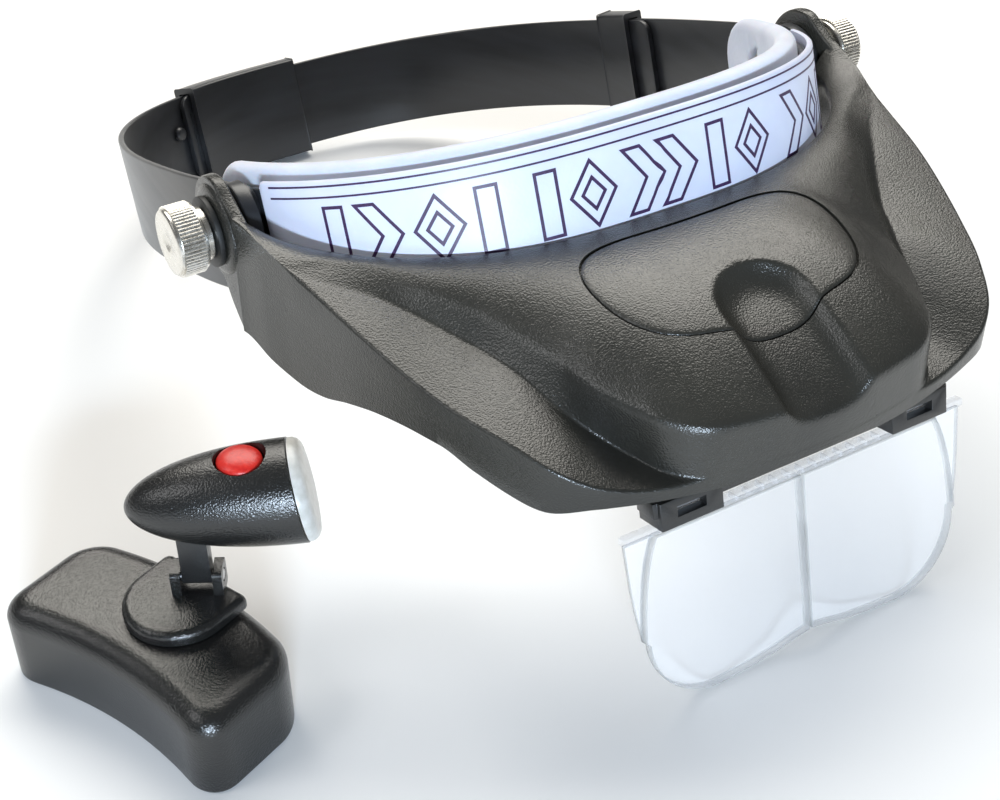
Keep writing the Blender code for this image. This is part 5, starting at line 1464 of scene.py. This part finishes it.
# %% [markdown]
# ## Button and front ring
# The button is a soft red dome that stands just proud of its recess. The front of the lamp is
# a thick clear ring with a flat window, and its cloudy edge is what shows from the side.
# %% Button and front ring
button_foot = button_top - BUTTON_DEPTH
dome_foot = button_top - BUTTON_DOME
dome = [(button_foot, 0.0), (button_foot, BUTTON_RADIUS), (dome_foot, BUTTON_RADIUS)]
dome += [(dome_foot + (BUTTON_DOME + GAP) * math.sin(t),
          BUTTON_RADIUS * (0.12 + 0.88 * math.cos(t)) if t < 1.56 else 0.0)
         for t in np.radians(np.linspace(12, 90, 14))]
button = lathe("button_dome", dome, HEAD, button_red, axis="Z", segments=96,
               centre=(button_x, 0.0, 0.0))
settle(button, "lamp_button", "red_button", "lamp_button")
ring_place = HEAD @ Matrix.Translation((face_x * MM, 0, 0)) @ Matrix.Rotation(-FACE_LEAN, 4, "Y")
ring_profile = ((GAP, 0.0), (GAP, LAMP_RADIUS - 0.1), (1.2, LAMP_RADIUS - 0.2),
                (2.0, LAMP_RADIUS - 0.6),
                (2.6, LAMP_RADIUS - 1.5), (2.9, LAMP_RADIUS * 0.62), (3.1, LAMP_RADIUS * 0.3),
                (3.1, 0.0))
front_ring = lathe("lamp_window", ring_profile, ring_place, frosted, segments=96)
settle(front_ring, "lamp_head", "clear_acrylic", "lamp_lens")
print("button stands at", round(button_top, 1), "mm from the head's axis")

# %% [markdown]
# ## Inside the lamp
# Cells, springs, contacts, the board, the reflector and the light-emitting diode are seen
# only with the door off. They keep the solid model's meshes and take a finish each.
# %% Finishes for the carried-over parts
INSIDE = {"battery_1": cell_wrap, "battery_2": cell_wrap, "cap_contact": steel,
          "spring_contact": steel,
          "contact_spring_1": steel, "contact_spring_2": steel, "lamp_reflector": chrome,
          "led": acrylic,
          "led_board": board_green, "switch_body": board_green}
for node, finish in INSIDE.items():
    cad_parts[node].data.materials.clear()
    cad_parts[node].data.materials.append(finish)
print("carried-over parts:", len(INSIDE))

# %% [markdown]
# ## Floor
# The set is a wide, plain, pale floor. It is staged, so it is not part of the object.
# %% Floor
FLOOR_REACH, FLOOR_DROP = 4000, -0.05
floor_finish, tree, shader, place = start_finish("pale_floor", 0.9, Specular_IOR_Level=0.1)
tint(tree, shader, noise(tree, place, 3.0, 2.0), (0.90, 0.90, 0.90), (0.92, 0.92, 0.92))
floor = made_piece("floor", [(x * FLOOR_REACH, y * FLOOR_REACH, FLOOR_DROP)
                             for x, y in ((-1, -1), (1, -1), (1, 1), (-1, 1))],
                   [(0, 1, 2, 3)], Matrix.Identity(4), floor_finish)
if floor.data.polygons[0].normal.z < 0:
    floor.data.flip_normals()
floor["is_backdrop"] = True
print("floor spans", 2 * FLOOR_REACH / 1000, "m")

# %% [markdown]
# ## Lights
# The light is soft and plain. A wide warm light behind and above gives the hump its olive-grey
# sheen. A low, cool window in front picks out the ridges, and its reflection is what the
# pebbled skin breaks into sparks. A weak fill and a pale world keep the shadows open.
# %% Lights
LIGHT_AIM, WORLD_STRENGTH = (0.0, -0.03, 0.04), 0.16


def soft_light(name, azimuth, elevation, distance, size, power, color):
    """A rectangular light at an azimuth and elevation round the object, facing it."""
    a, e = math.radians(azimuth), math.radians(elevation)
    away = Vector((math.sin(a) * math.cos(e), -math.cos(a) * math.cos(e), math.sin(e)))
    data = bpy.data.lights.new(name, "AREA")
    data.shape, data.size, data.size_y = "RECTANGLE", *size
    data.energy, data.color = power, color
    light = bpy.data.objects.new(name, data)
    bpy.context.scene.collection.objects.link(light)
    light.location = Vector(LIGHT_AIM) + away * distance
    light.rotation_mode = "QUATERNION"
    light.rotation_quaternion = (-away).to_track_quat("-Z", "Y")


soft_light("warm_overhead", 150.0, 52.0, 1.5, (1.7, 1.0), 30.0, (1.0, 0.97, 0.90))
soft_light("cool_window", -24.0, 12.0, 1.2, (0.26, 0.06), 16.0, (0.70, 0.84, 1.0))
soft_light("side_fill", -95.0, 45.0, 1.6, (0.6, 0.6), 5.0, (1.0, 1.0, 1.0))
world = bpy.data.worlds.new("studio")
bpy.context.scene.world = world
world.use_nodes = True
background = world.node_tree.nodes["Background"]
background.inputs["Color"].default_value = (1.0, 1.0, 1.0, 1.0)
background.inputs["Strength"].default_value = WORLD_STRENGTH
bpy.context.scene.view_settings.view_transform = "Standard"

# %% [markdown]
# ## Finish
# The dressed model's box is printed in millimetres.
# %% Sizes and finish
low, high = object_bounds()
print("dressed model spans", [round((b - a) * 1000, 1) for a, b in zip(low, high)], "mm")
